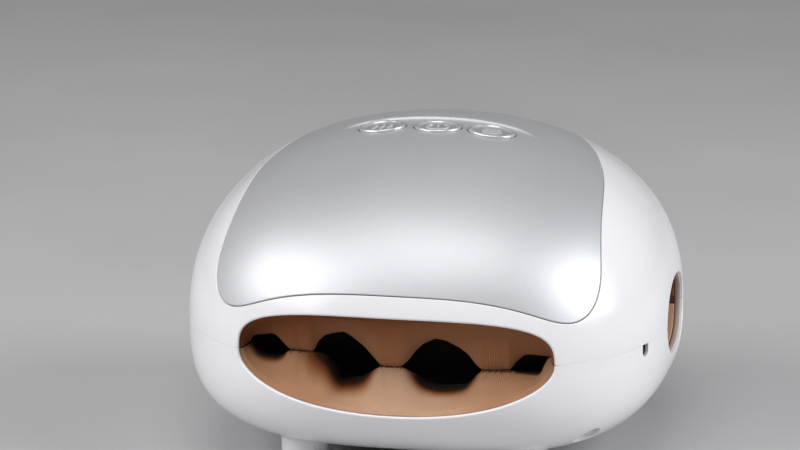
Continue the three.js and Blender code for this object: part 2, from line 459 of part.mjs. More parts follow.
// ---------------------------------------------------------------- manifold and air tubes
{
  let s = box(27, 38, 33, 45, 34.4, 42.4);
  s = s.add(rodY(1.9, 29.5, 26, 34, 38.4, 8)).add(rodY(1.9, 35.5, 26, 34, 38.4, 8)).add(rodX(1.9, 37, 44, 39, 38.4, 8));
  s = s.subtract(rodY(0.8, 29.5, 25, 40, 38.4, 6)).subtract(rodY(0.8, 35.5, 25, 40, 38.4, 6));
  add('air_manifold', s, COLOURS.black, 0.5);
}
function tube(points, r, steps) {
  const curve = new THREE.CatmullRomCurve3(points.map((p) => new THREE.Vector3(...p)));
  return solid(new THREE.ExtrudeGeometry(new THREE.Shape(oval(r, r, 2, 6)), { steps, bevelEnabled: false, extrudePath: curve }));
}
const VALVE_NOZZLE = 34.35 + 21;
add('pump_air_tube', tube([[44.5, 39, 38.4], [48.5, 39, 39.5], [50, 38, 43], [47, 37, 46.8], [40, PUMP.y, 48], [32, PUMP.y, 47.6], [24.4, PUMP.y, PUMP.z]], 2.0, 18), COLOURS.tube, 0.5);
add('finger_air_tube', tube([[29.5, 25.6, 38.4], [29.5, 18, 38.4], [20, 6, 42], [0, -4, 48], [-18, -12, 54], [-22, -20, VALVE_NOZZLE], [-22, -24.3, VALVE_NOZZLE]], 2.2, 18), COLOURS.tube, 0.5);
add('palm_air_tube', tube([[35.5, 25.6, 38.4], [35.5, 16, 39], [33, 4, 43], [28, -8, 49], [23, -18, 54.5], [22, -21, VALVE_NOZZLE], [22, -24.3, VALVE_NOZZLE]], 2.2, 14), COLOURS.tube, 0.5);

// ---------------------------------------------------------------- battery and charging
add('battery_pack', box(-33, 33, -24, 26, -43.2, -34.6).intersect(bodySolid(WALL + 0.6)), COLOURS.cell, 0.5);
add('battery_strap', box(-36, 36, -5, 7, -34.25, -32.6).add(box(-36, -33.4, -5, 7, -42.8, -33)).add(box(33.4, 36, -5, 7, -42.8, -33)), COLOURS.frame, 0.6);
{
  let s = box(-16, -4.6, -4.6, 4.6, -7.4, 2.2).subtract(rodX(2.9, -13.5, 0, 0, -2.7, 12));
  s = s.add(rodX(1.0, -14, -5.6, 0, -2.7, 6));
  add('charge_socket', portPiece(s), COLOURS.black, 0.45);
  add('charge_board', portPiece(box(-18, -6.5, -8, 8, -9.0, -7.7)), COLOURS.board, 0.5);
}
// ---------------------------------------------------------------- feet and screws
for (const [name, sx, y] of [['front_right', 1, FOOT_FRONT], ['front_left', -1, FOOT_FRONT], ['rear_right', 1, FOOT_REAR], ['rear_left', -1, FOOT_REAR]]) {
  add(`${name}_foot`, rodZ(7.2, sx * FOOT_X, y, FLOOR, FLOOR + 2.1, 14), COLOURS.rubber, 0.9);
}
for (const [name, sx, y] of [['front_right', 1, WELL_FRONT], ['front_left', -1, WELL_FRONT], ['rear_right', 1, WELL_REAR], ['rear_left', -1, WELL_REAR]]) {
  let s = rodZ(3.2, sx * WELL_X, y, -19.6, -17.3, 10).add(rodZ(1.3, sx * WELL_X, y, -18, -2.5, 6));
  s = s.subtract(box(sx * WELL_X - 2.2, sx * WELL_X + 2.2, y - 0.4, y + 0.4, -20, -18.6)).subtract(box(sx * WELL_X - 0.4, sx * WELL_X + 0.4, y - 2.2, y + 2.2, -20, -18.6));
  add(`${name}_screw`, s, COLOURS.steel, 0.35, 0.9);
}

export default group;
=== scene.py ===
# Looks of a hand massager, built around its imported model. Metres in Blender; the
# shapes below are worked out in millimetres in the case's own frame, whose origin
# lies on the parting plane, and move to the floor by OFF.
import json
import math

import bpy
import numpy as np
from mathutils import Matrix, Vector
from mathutils.geometry import delaunay_2d_cdt


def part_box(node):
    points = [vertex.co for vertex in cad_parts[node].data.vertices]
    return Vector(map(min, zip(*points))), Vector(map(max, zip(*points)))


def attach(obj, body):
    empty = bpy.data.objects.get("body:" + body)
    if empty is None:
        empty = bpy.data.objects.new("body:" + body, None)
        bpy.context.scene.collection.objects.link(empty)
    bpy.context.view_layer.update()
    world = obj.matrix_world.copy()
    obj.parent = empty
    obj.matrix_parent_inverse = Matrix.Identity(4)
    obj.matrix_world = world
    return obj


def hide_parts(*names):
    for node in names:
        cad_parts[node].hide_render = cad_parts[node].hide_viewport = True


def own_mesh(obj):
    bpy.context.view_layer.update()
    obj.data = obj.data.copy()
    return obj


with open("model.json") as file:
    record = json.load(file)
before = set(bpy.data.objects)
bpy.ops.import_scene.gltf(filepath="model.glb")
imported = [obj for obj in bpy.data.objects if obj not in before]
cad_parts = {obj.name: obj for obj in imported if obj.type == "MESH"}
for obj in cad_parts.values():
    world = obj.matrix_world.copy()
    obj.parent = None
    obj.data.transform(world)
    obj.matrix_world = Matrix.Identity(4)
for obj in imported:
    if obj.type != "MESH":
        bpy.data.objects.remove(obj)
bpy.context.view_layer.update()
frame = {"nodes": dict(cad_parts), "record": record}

OFF = np.array([0.0, 0.27, 54.1])
HW, HD, DH, BD = 95.0, 92.0, 71.3, 48.1
FLOOR = -54.1
WALL, PANEL, GAP = 2.5, 2.0, 0.3
SEAM_GAP = 0.02
SLOT = (61.0, 18.45, 3.1, 20.0, 1.97)
SLOT_AT = (-0.75, -0.45)
WRIST = (60.5, 30.0, 2.5, 24.0, 2.5)
THUMB = (3.0, 0.4, 22.0, 15.0, 2.15)
KEY_X, KEY_Y = 21.7, -0.5
KEY_A, KEY_B, KEY_N = 9.5, 7.9, 1.9
WELLS = [(1, -54.5), (-1, -54.5), (1, 56.5), (-1, 56.5)]
WELL_X, WELL_R = 68.5, 5.0
FEET = [(43, -48), (-43, -48), (43, 52), (-43, 52)]
PORT = (89.2, -42.0, -19.5, 4.3, 4.9)

# ------------------------------------------------------------------ case surface


def value(P, d=0.0):
    x, y, z = P[:, 0], P[:, 1], P[:, 2]
    up = z > 0
    c = np.where(up, DH, BD) - d
    m = np.where(up, 2.36, 3.02)
    zz = np.minimum(np.abs(z) / c, 1.5)
    yy = y - np.where(up, 7.7, 5.7) * zz * zz
    n = np.maximum(2.49 + np.where(up, -0.46, 0.84) * zz * zz, 1.7)
    pl = (np.abs(x / (HW - d)) ** n + np.abs(yy / (HD - d)) ** n) ** (1 / n)
    return (pl ** m + zz ** m) ** (1 / m)


def hit(o, d, inset=0.0, far=200.0):
    """Where rays from o along d leave the case surface set in by inset."""
    d = np.broadcast_to(np.asarray(d, float), np.broadcast_shapes(np.shape(o), np.shape(d))).reshape(-1, 3)
    d = d / np.linalg.norm(d, axis=1, keepdims=True)
    o = np.broadcast_to(np.asarray(o, float), d.shape)
    lo, hi = np.zeros(len(d)), np.full(len(d), far)
    ins = inset
    for _ in range(44):
        t = (lo + hi) / 2
        inside = value(o + t[:, None] * d, ins) < 1
        lo = np.where(inside, t, lo)
        hi = np.where(inside, hi, t)
    return o + lo[:, None] * d


def unit(v):
    return v / np.maximum(np.linalg.norm(v, axis=-1, keepdims=True), 1e-12)


def normal(P):
    e = 0.02
    g = [value(P + e * a) - value(P - e * a) for a in np.eye(3)]
    return unit(np.stack(g, 1))


def oval(a, b, n, t, grow=0.0):
    c, s = np.cos(t), np.sin(t)
    return np.sign(c) * (a + grow) * np.abs(c) ** (2 / n), np.sign(s) * (b + grow) * np.abs(s) ** (2 / n)


def even(fn, count, closed=True):
    """Evenly spaced points along the closed curve fn(t), t in radians."""
    t = np.linspace(0, 2 * math.pi, 4001)
    p = np.stack(fn(t), 1)
    s = np.concatenate([[0], np.cumsum(np.linalg.norm(np.diff(p, axis=0), axis=1))])
    w = np.interp(np.arange(count) / count * s[-1], s, t)
    return w


def opening(o, at=(0.0, 0.0)):
    a, top, nt, bottom, nb = o

    def fn(t, grow=0.0):
        c, s = np.cos(t), np.sin(t)
        n = np.where(s >= 0, nt, nb)
        b = np.where(s >= 0, top, bottom) + grow
        return at[0] + np.sign(c) * (a + grow) * np.abs(c) ** (2 / n), at[1] + np.sign(s) * b * np.abs(s) ** (2 / n)

    return fn


slot_fn, wrist_fn = opening(SLOT, SLOT_AT), opening(WRIST)


def thumb_fn(t, grow=0.0):
    u, v = oval(THUMB[2], THUMB[3], THUMB[4], t, grow)
    return u + THUMB[0], v + THUMB[1]


# ------------------------------------------------------------------ panel outline
PANEL_POINTS = [
    (0, -86.7, 26.4), (16, -86.2, 26.2), (31.2, -84.5, 25.0), (44.9, -81.6, 22.2), (54.5, -78.2, 18.6),
    (61.5, -75.0, 15.7), (66.5, -72.0, 14.6), (70.2, -68.4, 15.8), (72.6, -64.6, 19.0), (74.0, -59, 25.5),
    (72.8, -49, 37.5), (71.0, -37.5, 45.6), (69.2, -23.7, 51.2), (66.4, -5.7, 55.6), (61.4, 12.3, 59.1),
    (55.6, 27.0, 60.5), (47.0, 43, 60.5), (36, 54, 58), (20, 61, 57), (0, 63.5, 56),
]
APEX = np.array([0.0, -8.0, -5.0])


def closed_spline(points, per=60):
    """Centripetal Catmull-Rom through the points of a closed loop."""
    P = np.array(points, float)
    n, out = len(P), []
    for i in range(n):
        p0, p1, p2, p3 = P[(i - 1) % n], P[i], P[(i + 1) % n], P[(i + 2) % n]
        t0 = 0.0
        t1 = t0 + np.linalg.norm(p1 - p0) ** 0.5
        t2 = t1 + np.linalg.norm(p2 - p1) ** 0.5
        t3 = t2 + np.linalg.norm(p3 - p2) ** 0.5
        t = np.linspace(t1, t2, per, endpoint=False)[:, None]
        a1 = (t1 - t) / (t1 - t0) * p0 + (t - t0) / (t1 - t0) * p1
        a2 = (t2 - t) / (t2 - t1) * p1 + (t - t1) / (t2 - t1) * p2
        a3 = (t3 - t) / (t3 - t2) * p2 + (t - t2) / (t3 - t2) * p3
        b1 = (t2 - t) / (t2 - t0) * a1 + (t - t0) / (t2 - t0) * a2
        b2 = (t3 - t) / (t3 - t1) * a2 + (t - t1) / (t3 - t1) * a3
        out.append((t2 - t) / (t2 - t1) * b1 + (t - t1) / (t2 - t1) * b2)
    return np.concatenate(out)


def resample(P, count):
    Q = np.vstack([P, P[:1]])
    s = np.concatenate([[0], np.cumsum(np.linalg.norm(np.diff(Q, axis=0), axis=1))])
    w = np.arange(count) / count * s[-1]
    return np.stack([np.interp(w, s, Q[:, k]) for k in range(3)], 1)


def smooth_loop(P, sigma, count):
    f = np.fft.fft(P, axis=0)
    k = np.fft.fftfreq(len(P))[:, None]
    return np.real(np.fft.ifft(f * np.exp(-2 * (math.pi * k * sigma) ** 2), axis=0))


loop = closed_spline(PANEL_POINTS + [(-x, y, z) for x, y, z in PANEL_POINTS[-2:0:-1]])
loop = smooth_loop(resample(loop, 720), 7.0, 720)
loop = hit(APEX, resample(loop, 440) - APEX)


def panel_curve(grow, step=1):
    t = unit(np.roll(loop, -1, 0) - np.roll(loop, 1, 0))
    out = np.cross(t, normal(loop))
    return hit(APEX, loop + out * grow - APEX)


# ------------------------------------------------------------------ keys
def key_frame(x):
    p = hit(np.array([x, KEY_Y, 0.0]), np.array([0, 0, 1.0]))[0]
    n = normal(p[None])[0]
    q = Vector((0, 0, 1)).rotation_difference(Vector(n)).to_matrix()
    return p, n, np.array(q)


KEYS = [key_frame(-KEY_X), key_frame(0.3), key_frame(KEY_X)]


def on_key(k, u, v, h):
    p, n, q = k
    return p + np.stack([u, v, np.broadcast_to(h, np.shape(u))], -1) @ q.T


# crescent ridge behind the keys: height above the panel
RIDGE_X = 37.0


def ridge_height(P):
    x, y = P[:, 0], P[:, 1]
    yc = 12.3 - 7.2 * (x / RIDGE_X) ** 2 + 0.022 * x
    slope = -14.4 * x / RIDGE_X ** 2 + 0.022
    dist = (y - yc) / np.sqrt(1 + slope ** 2)
    end = np.clip(1 - np.abs(x / (RIDGE_X + 1.6)) ** 8, 0, 1)
    return 1.15 * end * np.exp(-np.abs(dist / 1.15) ** 2.6)


# ------------------------------------------------------------------ skins with openings
class Curve:
    """A closed line on the case where the skin turns into a wall. rows are the
    points of the wall's section, from the skin inwards, for each sample."""

    def __init__(self, name, rows, groups, through=True, hole=True, flat_to=None):
        self.name, self.rows, self.groups = name, np.stack(rows), groups
        self.through, self.hole = through, hole


def turn(A, C, W, r, count=7):
    """Rows of a rounded edge from A over corner C to C + r W."""
    B = C + unit(W) * np.reshape(r, (-1, 1))
    a, b = unit(A - C), unit(B - C)
    cosv = np.sum(a * b, 1, keepdims=True)
    w = np.sqrt(np.clip((1 - cosv) / 2, 0.02, 1))
    rows = []
    for t in np.linspace(0, 1, count + 1):
        k = (1 - t) ** 2 + 2 * w * t * (1 - t) + t ** 2
        rows.append(((1 - t) ** 2 * A + 2 * w * t * (1 - t) * C + t ** 2 * B) / k)
    return rows


def to_plane(P, sg):
    q = unit(P / np.array([HW, HD, sg * (DH if sg > 0 else BD)]))
    th = np.arccos(np.clip(q[:, 2], -1, 1)) / (math.pi / 2)
    ph = np.arctan2(q[:, 1], q[:, 0])
    return np.stack([th * np.cos(ph), th * np.sin(ph)], 1)


def from_plane(ab, sg):
    r = np.hypot(ab[:, 0], ab[:, 1])
    th, ph = r * math.pi / 2, np.arctan2(ab[:, 1], ab[:, 0])
    d = np.stack([np.sin(th) * np.cos(ph) * HW, np.sin(th) * np.sin(ph) * HD, sg * np.cos(th) * (DH if sg > 0 else BD)], 1)
    return hit(np.zeros(3), d)


def in_polygon(P, poly):
    x, y = P[:, 0][:, None], P[:, 1][:, None]
    x0, y0 = poly[:, 0][None], poly[:, 1][None]
    x1, y1 = np.roll(poly[:, 0], -1)[None], np.roll(poly[:, 1], -1)[None]
    res = np.zeros(len(P), bool)
    for i in range(0, len(P), 4000):
        s = slice(i, i + 4000)
        c = ((y0 > y[s]) != (y1 > y[s])) & (x[s] < (x1 - x0) * (y[s] - y0) / (y1 - y0 + 1e-30) + x0)
        res[s] = np.sum(c, 1) % 2 == 1
    return res


def nearest_on(P, poly):
    """Distance to a closed polyline, segment and share along it, for each point."""
    a, b = poly, np.roll(poly, -1, 0)
    ab = b - a
    L = np.maximum(np.sum(ab * ab, 1), 1e-18)
    best = [np.zeros(len(P)), np.zeros(len(P), int), np.zeros(len(P))]
    for i in range(0, len(P), 2000):
        s = slice(i, i + 2000)
        w = P[s][:, None] - a[None]
        f = np.clip(np.sum(w * ab[None], 2) / L[None], 0, 1)
        dd = np.linalg.norm(w - f[..., None] * ab[None], axis=2)
        k = np.argmin(dd, 1)
        r = np.arange(len(k))
        best[0][s], best[1][s], best[2][s] = dd[r, k], k, f[r, k]
    return best


def skin(sg, limit, curves, spacing, depth, extra=(), height=None):
    """Outer skin of a shell piece, its walls at each curve, and its inner skin.
    limit: the outermost curve. Returns points (mm), faces and corner normals."""
    everything = [limit] + list(curves)
    planes = [to_plane(c.rows[0], sg) for c in everything]
    scale = 1 / 118.0
    h = spacing * scale
    span = 1.08
    rows = int(2 * span / (h * 0.866))
    grid = []
    for j in range(rows):
        y = -span + j * h * 0.866
        xs = np.arange(-span, span, h) + (h / 2 if j % 2 else 0)
        grid.append(np.stack([xs, np.full(len(xs), y)], 1))
    grid = np.concatenate(grid)
    ok = in_polygon(grid, planes[0])
    for pl, c in zip(planes, everything):
        grid, ok = grid[ok], None
        near = nearest_on(grid, pl)[0]
        ok = near > h * 0.75
    grid = grid[ok]
    companions = []
    for pl in planes:
        t = unit(np.roll(pl, -1, 0) - np.roll(pl, 1, 0))
        out = np.stack([t[:, 1], -t[:, 0]], 1)
        for g in (0.36 * h, -0.36 * h):
            companions.append((pl + out * g)[::2])
    comp = np.concatenate(companions)
    ok = in_polygon(comp, planes[0])
    for pl in planes:
        ok &= nearest_on(comp, pl)[0] > 0.3 * h
    comp = comp[ok]
    if len(extra):
        ex = to_plane(np.asarray(extra), sg)
        ok = in_polygon(ex, planes[0])
        for pl in planes[1:]:
            ok &= nearest_on(ex, pl)[0] > 0.25 * h
        ex = ex[ok]
        keep = np.ones(len(grid), bool)
        for i in range(0, len(grid), 2000):
            dd = np.min(np.linalg.norm(grid[i:i + 2000][:, None] - ex[None], axis=2), 1)
            keep[i:i + 2000] = dd > 0.5 * h
        grid = np.concatenate([grid[keep], ex])
    pts, edges, at = [], [], 0
    for pl in planes:
        pts.append(pl)
        n = len(pl)
        edges += [(at + i, at + (i + 1) % n) for i in range(n)]
        at += n
    pts = np.concatenate(pts + [comp, grid])
    res = delaunay_2d_cdt([Vector(p) for p in pts.tolist()], edges, [], 0, 1e-9)
    ab = np.array([[v[0], v[1]] for v in res[0]])
    tri = []
    for f in res[2]:
        for k in range(1, len(f) - 1):
            tri.append((f[0], f[k], f[k + 1]))
    tri = np.array(tri)
    cen = ab[tri].mean(1)
    area = np.cross(ab[tri[:, 1]] - ab[tri[:, 0]], ab[tri[:, 2]] - ab[tri[:, 0]])
    good = in_polygon(cen, planes[0]) & (np.abs(area) > 1e-12)
    holes = [in_polygon(cen, pl) for pl in planes[1:]]
    outer = good.copy()
    inner = good.copy()
    for c, hmask in zip(curves, holes):
        outer &= ~hmask
        if c.through:
            inner &= ~hmask
    tri = np.where((area < 0)[:, None], tri[:, ::-1], tri)
    if sg < 0:
        tri = tri[:, ::-1]
    P = from_plane(ab, sg)
    N = normal(P)
    if height is not None:
        hh = height(P)
        e = 0.05
        a1 = unit(np.cross(N, np.array([0.0, 1.0, 0.2])))
        a2 = np.cross(N, a1)
        g1 = (height(P + e * a1) - height(P - e * a1)) / (2 * e)
        g2 = (height(P + e * a2) - height(P - e * a2)) / (2 * e)
        Nh = unit(N - g1[:, None] * a1 - g2[:, None] * a2)
    else:
        hh, Nh = np.zeros(len(P)), N

    To, Ti = tri[outer], tri[inner]
    V, F, LN = [], [], []
    base = 0

    def put(points):
        nonlocal base
        V.append(points)
        base += len(points)
        return base - len(points)

    used = np.unique(To)
    mapo = np.full(len(P), -1)
    mapo[used] = put((P + hh[:, None] * N)[used]) + np.arange(len(used))
    F += mapo[To].tolist()
    LN += Nh[To].reshape(-1, 3).tolist()

    # boundary half-edges of the outer skin, as the triangles run
    def border(T):
        e = np.concatenate([T[:, [0, 1]], T[:, [1, 2]], T[:, [2, 0]]])
        key = e[:, 0].astype(np.int64) * len(P) + e[:, 1]
        rev = e[:, 1].astype(np.int64) * len(P) + e[:, 0]
        return e[~np.isin(key, rev)]

    be = border(To)
    mid = (ab[be[:, 0]] + ab[be[:, 1]]) / 2
    dist = np.stack([nearest_on(mid, pl)[0] for pl in planes], 1)
    owner = np.argmin(dist, 1)
    # each border point belongs to one curve: the highest in the list of those that meet there
    bv = np.unique(be)
    prio = np.full(len(P), -1)
    for (a, b), o in zip(be, owner):
        prio[a] = max(prio[a], o)
        prio[b] = max(prio[b], o)
    rows_at = {}
    for ci, c in enumerate(everything):
        vs = bv[prio[bv] == ci]
        if not len(vs):
            continue
        _, seg, f = nearest_on(ab[vs], planes[ci])
        nxt = (seg + 1) % len(planes[ci])
        R = c.rows[:, seg] * (1 - f)[None, :, None] + c.rows[:, nxt] * f[None, :, None]
        R[0] = P[vs]
        for k, v in enumerate(vs):
            rows_at[int(v)] = (ci, R[:, k])
    inner_at = {}
    order = {}
    for v, (ci, R) in rows_at.items():
        c = everything[ci]
        R = R.copy()
        if c.through and ci != 0:
            z = np.maximum(R[1:, 2] * sg, SEAM_GAP) * sg
            near = R[0, 2] * sg < 6
            if near:
                R[1:, 2] = z
        ids = [int(mapo[v])]
        start = put(R[1:])
        ids += list(range(start, start + len(R) - 1))
        order[v] = (ci, ids)
        inner_at[v] = ids[-1]
    # strips
    Vall = np.concatenate(V)
    faces, grp = [], []
    for (a, b), o in zip(be, owner):
        ca, ia = order[int(a)]
        cb, ib = order[int(b)]
        n = min(len(ia), len(ib))
        gs = everything[ca].groups if len(ia) <= len(ib) else everything[cb].groups
        for k in range(n - 1):
            faces.append((ib[k], ia[k], ia[k + 1], ib[k + 1]))
            grp.append(gs[k])
    if faces:
        fa = np.array(faces)
        fn = np.cross(Vall[fa[:, 2]] - Vall[fa[:, 0]], Vall[fa[:, 3]] - Vall[fa[:, 1]])
        acc = {}
        for fi, (f, g) in enumerate(zip(faces, grp)):
            for v in f:
                acc[(v, g)] = acc.get((v, g), 0) + fn[fi]
        first = {int(mapo[v]): Nh[v] for v in rows_at}
        for f, g in zip(faces, grp):
            F.append(list(f))
            for v in f:
                n = first[v] if (v in first and g == 0) else acc[(v, g)]
                LN.append((n / max(np.linalg.norm(n), 1e-12)).tolist())
        # rim ends of a wall that closes on itself inside, such as a foot's pocket
        for ci, c in enumerate(everything):
            if not c.through:
                ends = {}
                for (a, b), o in zip(be, owner):
                    if o == ci and order[int(a)][0] == ci and order[int(b)][0] == ci:
                        ends[order[int(a)][1][-1]] = order[int(b)][1][-1]
                if not ends:
                    continue
                start_v = next(iter(ends))
                ring, cur = [start_v], ends[start_v]
                while cur != start_v and cur in ends and len(ring) < 5000:
                    ring.append(cur)
                    cur = ends[cur]
                centre = Vall[ring].mean(0)
                cid = put(centre[None])
                Vall = np.concatenate(V)
                nn = np.zeros(3)
                for i in range(len(ring)):
                    nn += np.cross(Vall[ring[i]] - centre, Vall[ring[(i + 1) % len(ring)]] - centre)
                nn = unit(-nn)
                for i in range(len(ring)):
                    F.append([ring[(i + 1) % len(ring)], ring[i], cid])
                    LN += [nn.tolist()] * 3
    # inner skin
    if depth:
        usei = np.unique(Ti)
        mapi = np.full(len(P), -1)
        ins = P - depth * N
        bset = set(np.unique(border(Ti)).tolist())
        plain = [v for v in usei.tolist() if not (v in bset and v in inner_at)]
        s0 = put(ins[plain])
        mapi[plain] = s0 + np.arange(len(plain))
        for v in usei.tolist():
            if mapi[v] < 0:
                mapi[v] = inner_at[v]
        F += mapi[Ti[:, ::-1]].tolist()
        LN += (-N[Ti[:, ::-1]]).reshape(-1, 3).tolist()
    return np.concatenate(V), F, np.array(LN)


def make(name, V, F, LN=None, mats=(), smooth=True, off=True):
    me = bpy.data.meshes.new(name)
    P = (np.asarray(V, float) + (OFF if off else 0)) * 0.001
    me.from_pydata(P.tolist(), [], [list(map(int, f)) for f in F])
    me.update()
    if smooth:
        me.shade_smooth()
    if LN is not None:
        me.normals_split_custom_set(LN.tolist())
    ob = bpy.data.objects.new(name, me)
    bpy.context.scene.collection.objects.link(ob)
    for m in mats:
        me.materials.append(m)
    return ob


def shade_layer(ob, values):
    """A second UV layer of painted shade: its u says how deep in the hollow a point lies, 0 to 1, and colours are
    painted that much darker.
    """
    me = ob.data
    layer = me.uv_layers.new(name="hollow")
    idx = np.zeros(len(me.loops), int)
    me.loops.foreach_get("vertex_index", idx)
    w = np.asarray(values, float)[idx]
    layer.data.foreach_set("uv", np.stack([w, 0 * w], 1).astype(np.float32).ravel())


# ------------------------------------------------------------------ wall sections


def opening_curve(name, fn, direction, count, fillet=1.5):
    """direction: the way out of the case, along an axis."""
    t = even(lambda a: fn(a), count)
    ax = np.argmax(np.abs(direction))

    def place(g, d):
        u, v = fn(t, g)
        if ax == 1:
            o = np.stack([u, np.zeros_like(u), v], 1)
        else:
            o = np.stack([np.zeros_like(u), u, v], 1)
        return hit(o, direction, d)

    A, C = place(fillet, 0.0), place(0.0, 0.0)
    E = place(0.0, WALL)
    W = np.broadcast_to(-np.asarray(direction, float), C.shape)
    room = np.linalg.norm(E - C, axis=1)
    rows = turn(A, C, W, np.minimum(fillet, room * 0.6)) + [E]
    return Curve(name, rows, [0] * 7 + [0] * 1)


def parting_curve(sg, count=420):
    ph = np.arange(count) / count * 2 * math.pi
    d0 = np.stack([np.cos(ph) * HW, np.sin(ph) * HD, np.zeros(count)], 1)

    def at_z(z, inset=0.0):
        return hit(np.stack([np.zeros(count), np.zeros(count), np.full(count, z)], 1), d0, inset)

    A, C, E = at_z(sg * 0.15), at_z(sg * SEAM_GAP), at_z(sg * SEAM_GAP, WALL)
    W = unit(E - C)
    rows = turn(A, C, W, 0.11) + [E]
    return Curve("parting", rows, [0] * 8, hole=False)


def well_curve(sx, y0, count=56):
    t = np.arange(count) / count * 2 * math.pi
    x, y = sx * WELL_X + 0 * t, y0 + 0 * t

    def tube(r, z):
        return np.stack([x + r * np.cos(t), y + r * np.sin(t), np.full(count, float(z))], 1)

    def skinat(r, d=0.0):
        return hit(tube(r, 0), np.array([0, 0, -1.0]), d)

    A, C = skinat(WELL_R + 0.7), skinat(WELL_R)
    rows = turn(A, C, np.broadcast_to(np.array([0, 0, 1.0]), C.shape), 0.7)
    E = skinat(WELL_R + 1.7, WALL)
    top = tube(WELL_R + 1.7, -15.2)
    rows += [tube(WELL_R, -17), tube(1.8, -17), tube(1.8, -15.2), top, E]
    return Curve("well", rows, [0] * 8 + [1, 2, 3, 4])


def leg_curve(x0, y0, count=72):
    t = np.arange(count) / count * 2 * math.pi

    def tube(r, z):
        return np.stack([x0 + r * np.cos(t), y0 + r * np.sin(t), np.broadcast_to(float(z), t.shape)], 1)

    def skinat(r, d=0.0):
        return hit(tube(r, 0), np.array([0, 0, -1.0]), d)

    C = skinat(9.1)
    A = skinat(9.1 + 1.6)
    foot = FLOOR + 1.0
    room = (C[:, 2] - foot)
    rows = turn(A, C, np.broadcast_to(np.array([0, 0, -1.0]), C.shape), np.minimum(1.6, room * 0.45))
    e = 0.5
    rows += [tube(8.82, foot + e), tube(8.76, foot + 0.3 * e), tube(8.6, foot + 0.05 * e), tube(8.3, foot), tube(7.6, foot), tube(7.5, foot + 0.1), tube(7.5, FLOOR + 2.4), tube(0.6, FLOOR + 2.4)]
    return Curve("leg", rows, [0] * 8 + [0, 0, 0, 0, 0, 1, 2], through=False)


def port_curve(count=60):
    x0, y0, turn_deg, w, h = PORT
    r = w / 2
    t = np.linspace(0, 1, 801)
    # notch: flat top just under the parting plane, straight sides, round bottom
    top = -0.28
    pts = []
    for s in np.linspace(0, 1, 20, endpoint=False):
        pts.append((-r + 2 * r * s, top))
    for s in np.linspace(0, 1, 14, endpoint=False):
        pts.append((r, top + (-h + r - top) * s))
    for s in np.linspace(0, math.pi, 30, endpoint=False):
        pts.append((r * math.cos(s), -h + r - r * math.sin(s)))
    for s in np.linspace(0, 1, 14, endpoint=False):
        pts.append((-r, -h + r + (top + h - r) * s))
    pts = resample(np.array([(a, b, 0) for a, b in pts]), count)[:, :2]
    a = math.radians(turn_deg)
    d = np.array([math.cos(a), math.sin(a), 0.0])
    side = np.array([-math.sin(a), math.cos(a), 0.0])
    mid = pts.mean(0)

    def place(g, ins):
        v = unit(pts - mid)
        q = pts + v * g
        o = np.array([x0, y0, 0.0]) - 20 * d + q[:, :1] * side + np.stack([0 * q[:, 1], 0 * q[:, 1], q[:, 1]], 1)
        return hit(o, d, ins)

    A, C, E = place(0.3, 0), place(0, 0), place(0, WALL)
    rows = turn(A, C, np.broadcast_to(-d, C.shape), 0.3) + [E]
    return Curve("port", rows, [0] * 8)


def recess_curve():
    C = panel_curve(0.35)
    A = panel_curve(0.35 + 0.35)
    N = normal(C)
    wall = C - N * (PANEL + GAP)
    L = panel_curve(-5.5)
    NL = normal(L)
    ledge = L - NL * (PANEL + GAP)
    under = L - NL * (PANEL + GAP + 2.2)
    back = A - normal(A) * (PANEL + GAP + 2.2)
    rows = turn(A, C, -N, 0.35, 5) + [wall, ledge, under, back]
    return Curve("recess", rows, [0] * 6 + [1, 2, 3])


def panel_edge():
    C = panel_curve(0.0)
    A = panel_curve(-0.4)
    N = normal(C)
    rows = turn(A, C, -N, 0.4, 5) + [C - N * PANEL]
    return Curve("edge", rows, [0] * 6, hole=False)


def key_hole(k, count=90):
    t = even(lambda a: oval(KEY_A, KEY_B, KEY_N, a), count)

    def place(g):
        u, v = oval(KEY_A, KEY_B, KEY_N, t, g)
        return hit(on_key(k, u, v, -30.0), k[1])

    C, A = place(0.0), place(0.45)
    N = np.broadcast_to(k[1], C.shape)
    rows = turn(A, C, -N, 0.45, 5) + [C - N * PANEL]
    return Curve("key", rows, [0] * 6)


# ------------------------------------------------------------------ materials
def mat(name, base=(0.8, 0.8, 0.8), rough=0.5, metal=0.0, **sock):
    m = bpy.data.materials.new(name)
    m.use_nodes = True
    nt = m.node_tree
    b = nt.nodes["Principled BSDF"]
    b.inputs["Base Color"].default_value = (*base, 1)
    b.inputs["Roughness"].default_value = rough
    b.inputs["Metallic"].default_value = metal
    for k, v in sock.items():
        b.inputs[k.replace("_", " ")].default_value = v
    return m, nt, b


def node(nt, kind, **values):
    n = nt.nodes.new(kind)
    for k, v in values.items():
        if k.startswith("i_"):
            n.inputs[k[2:].replace("_", " ")].default_value = v
        else:
            setattr(n, k, v)
    return n


def coords(nt, scale=(1, 1, 1), rot=(0, 0, 0), kind="Object"):
    tc = node(nt, "ShaderNodeTexCoord")
    mp = node(nt, "ShaderNodeMapping")
    mp.inputs["Scale"].default_value = scale
    mp.inputs["Rotation"].default_value = rot
    nt.links.new(tc.outputs[kind], mp.inputs["Vector"])
    return mp.outputs["Vector"]


def noise(nt, vec, scale, detail=3.0, rough=0.5):
    n = node(nt, "ShaderNodeTexNoise")
    n.inputs["Scale"].default_value = scale
    n.inputs["Detail"].default_value = detail
    n.inputs["Roughness"].default_value = rough
    nt.links.new(vec, n.inputs["Vector"])
    return n.outputs["Fac"]


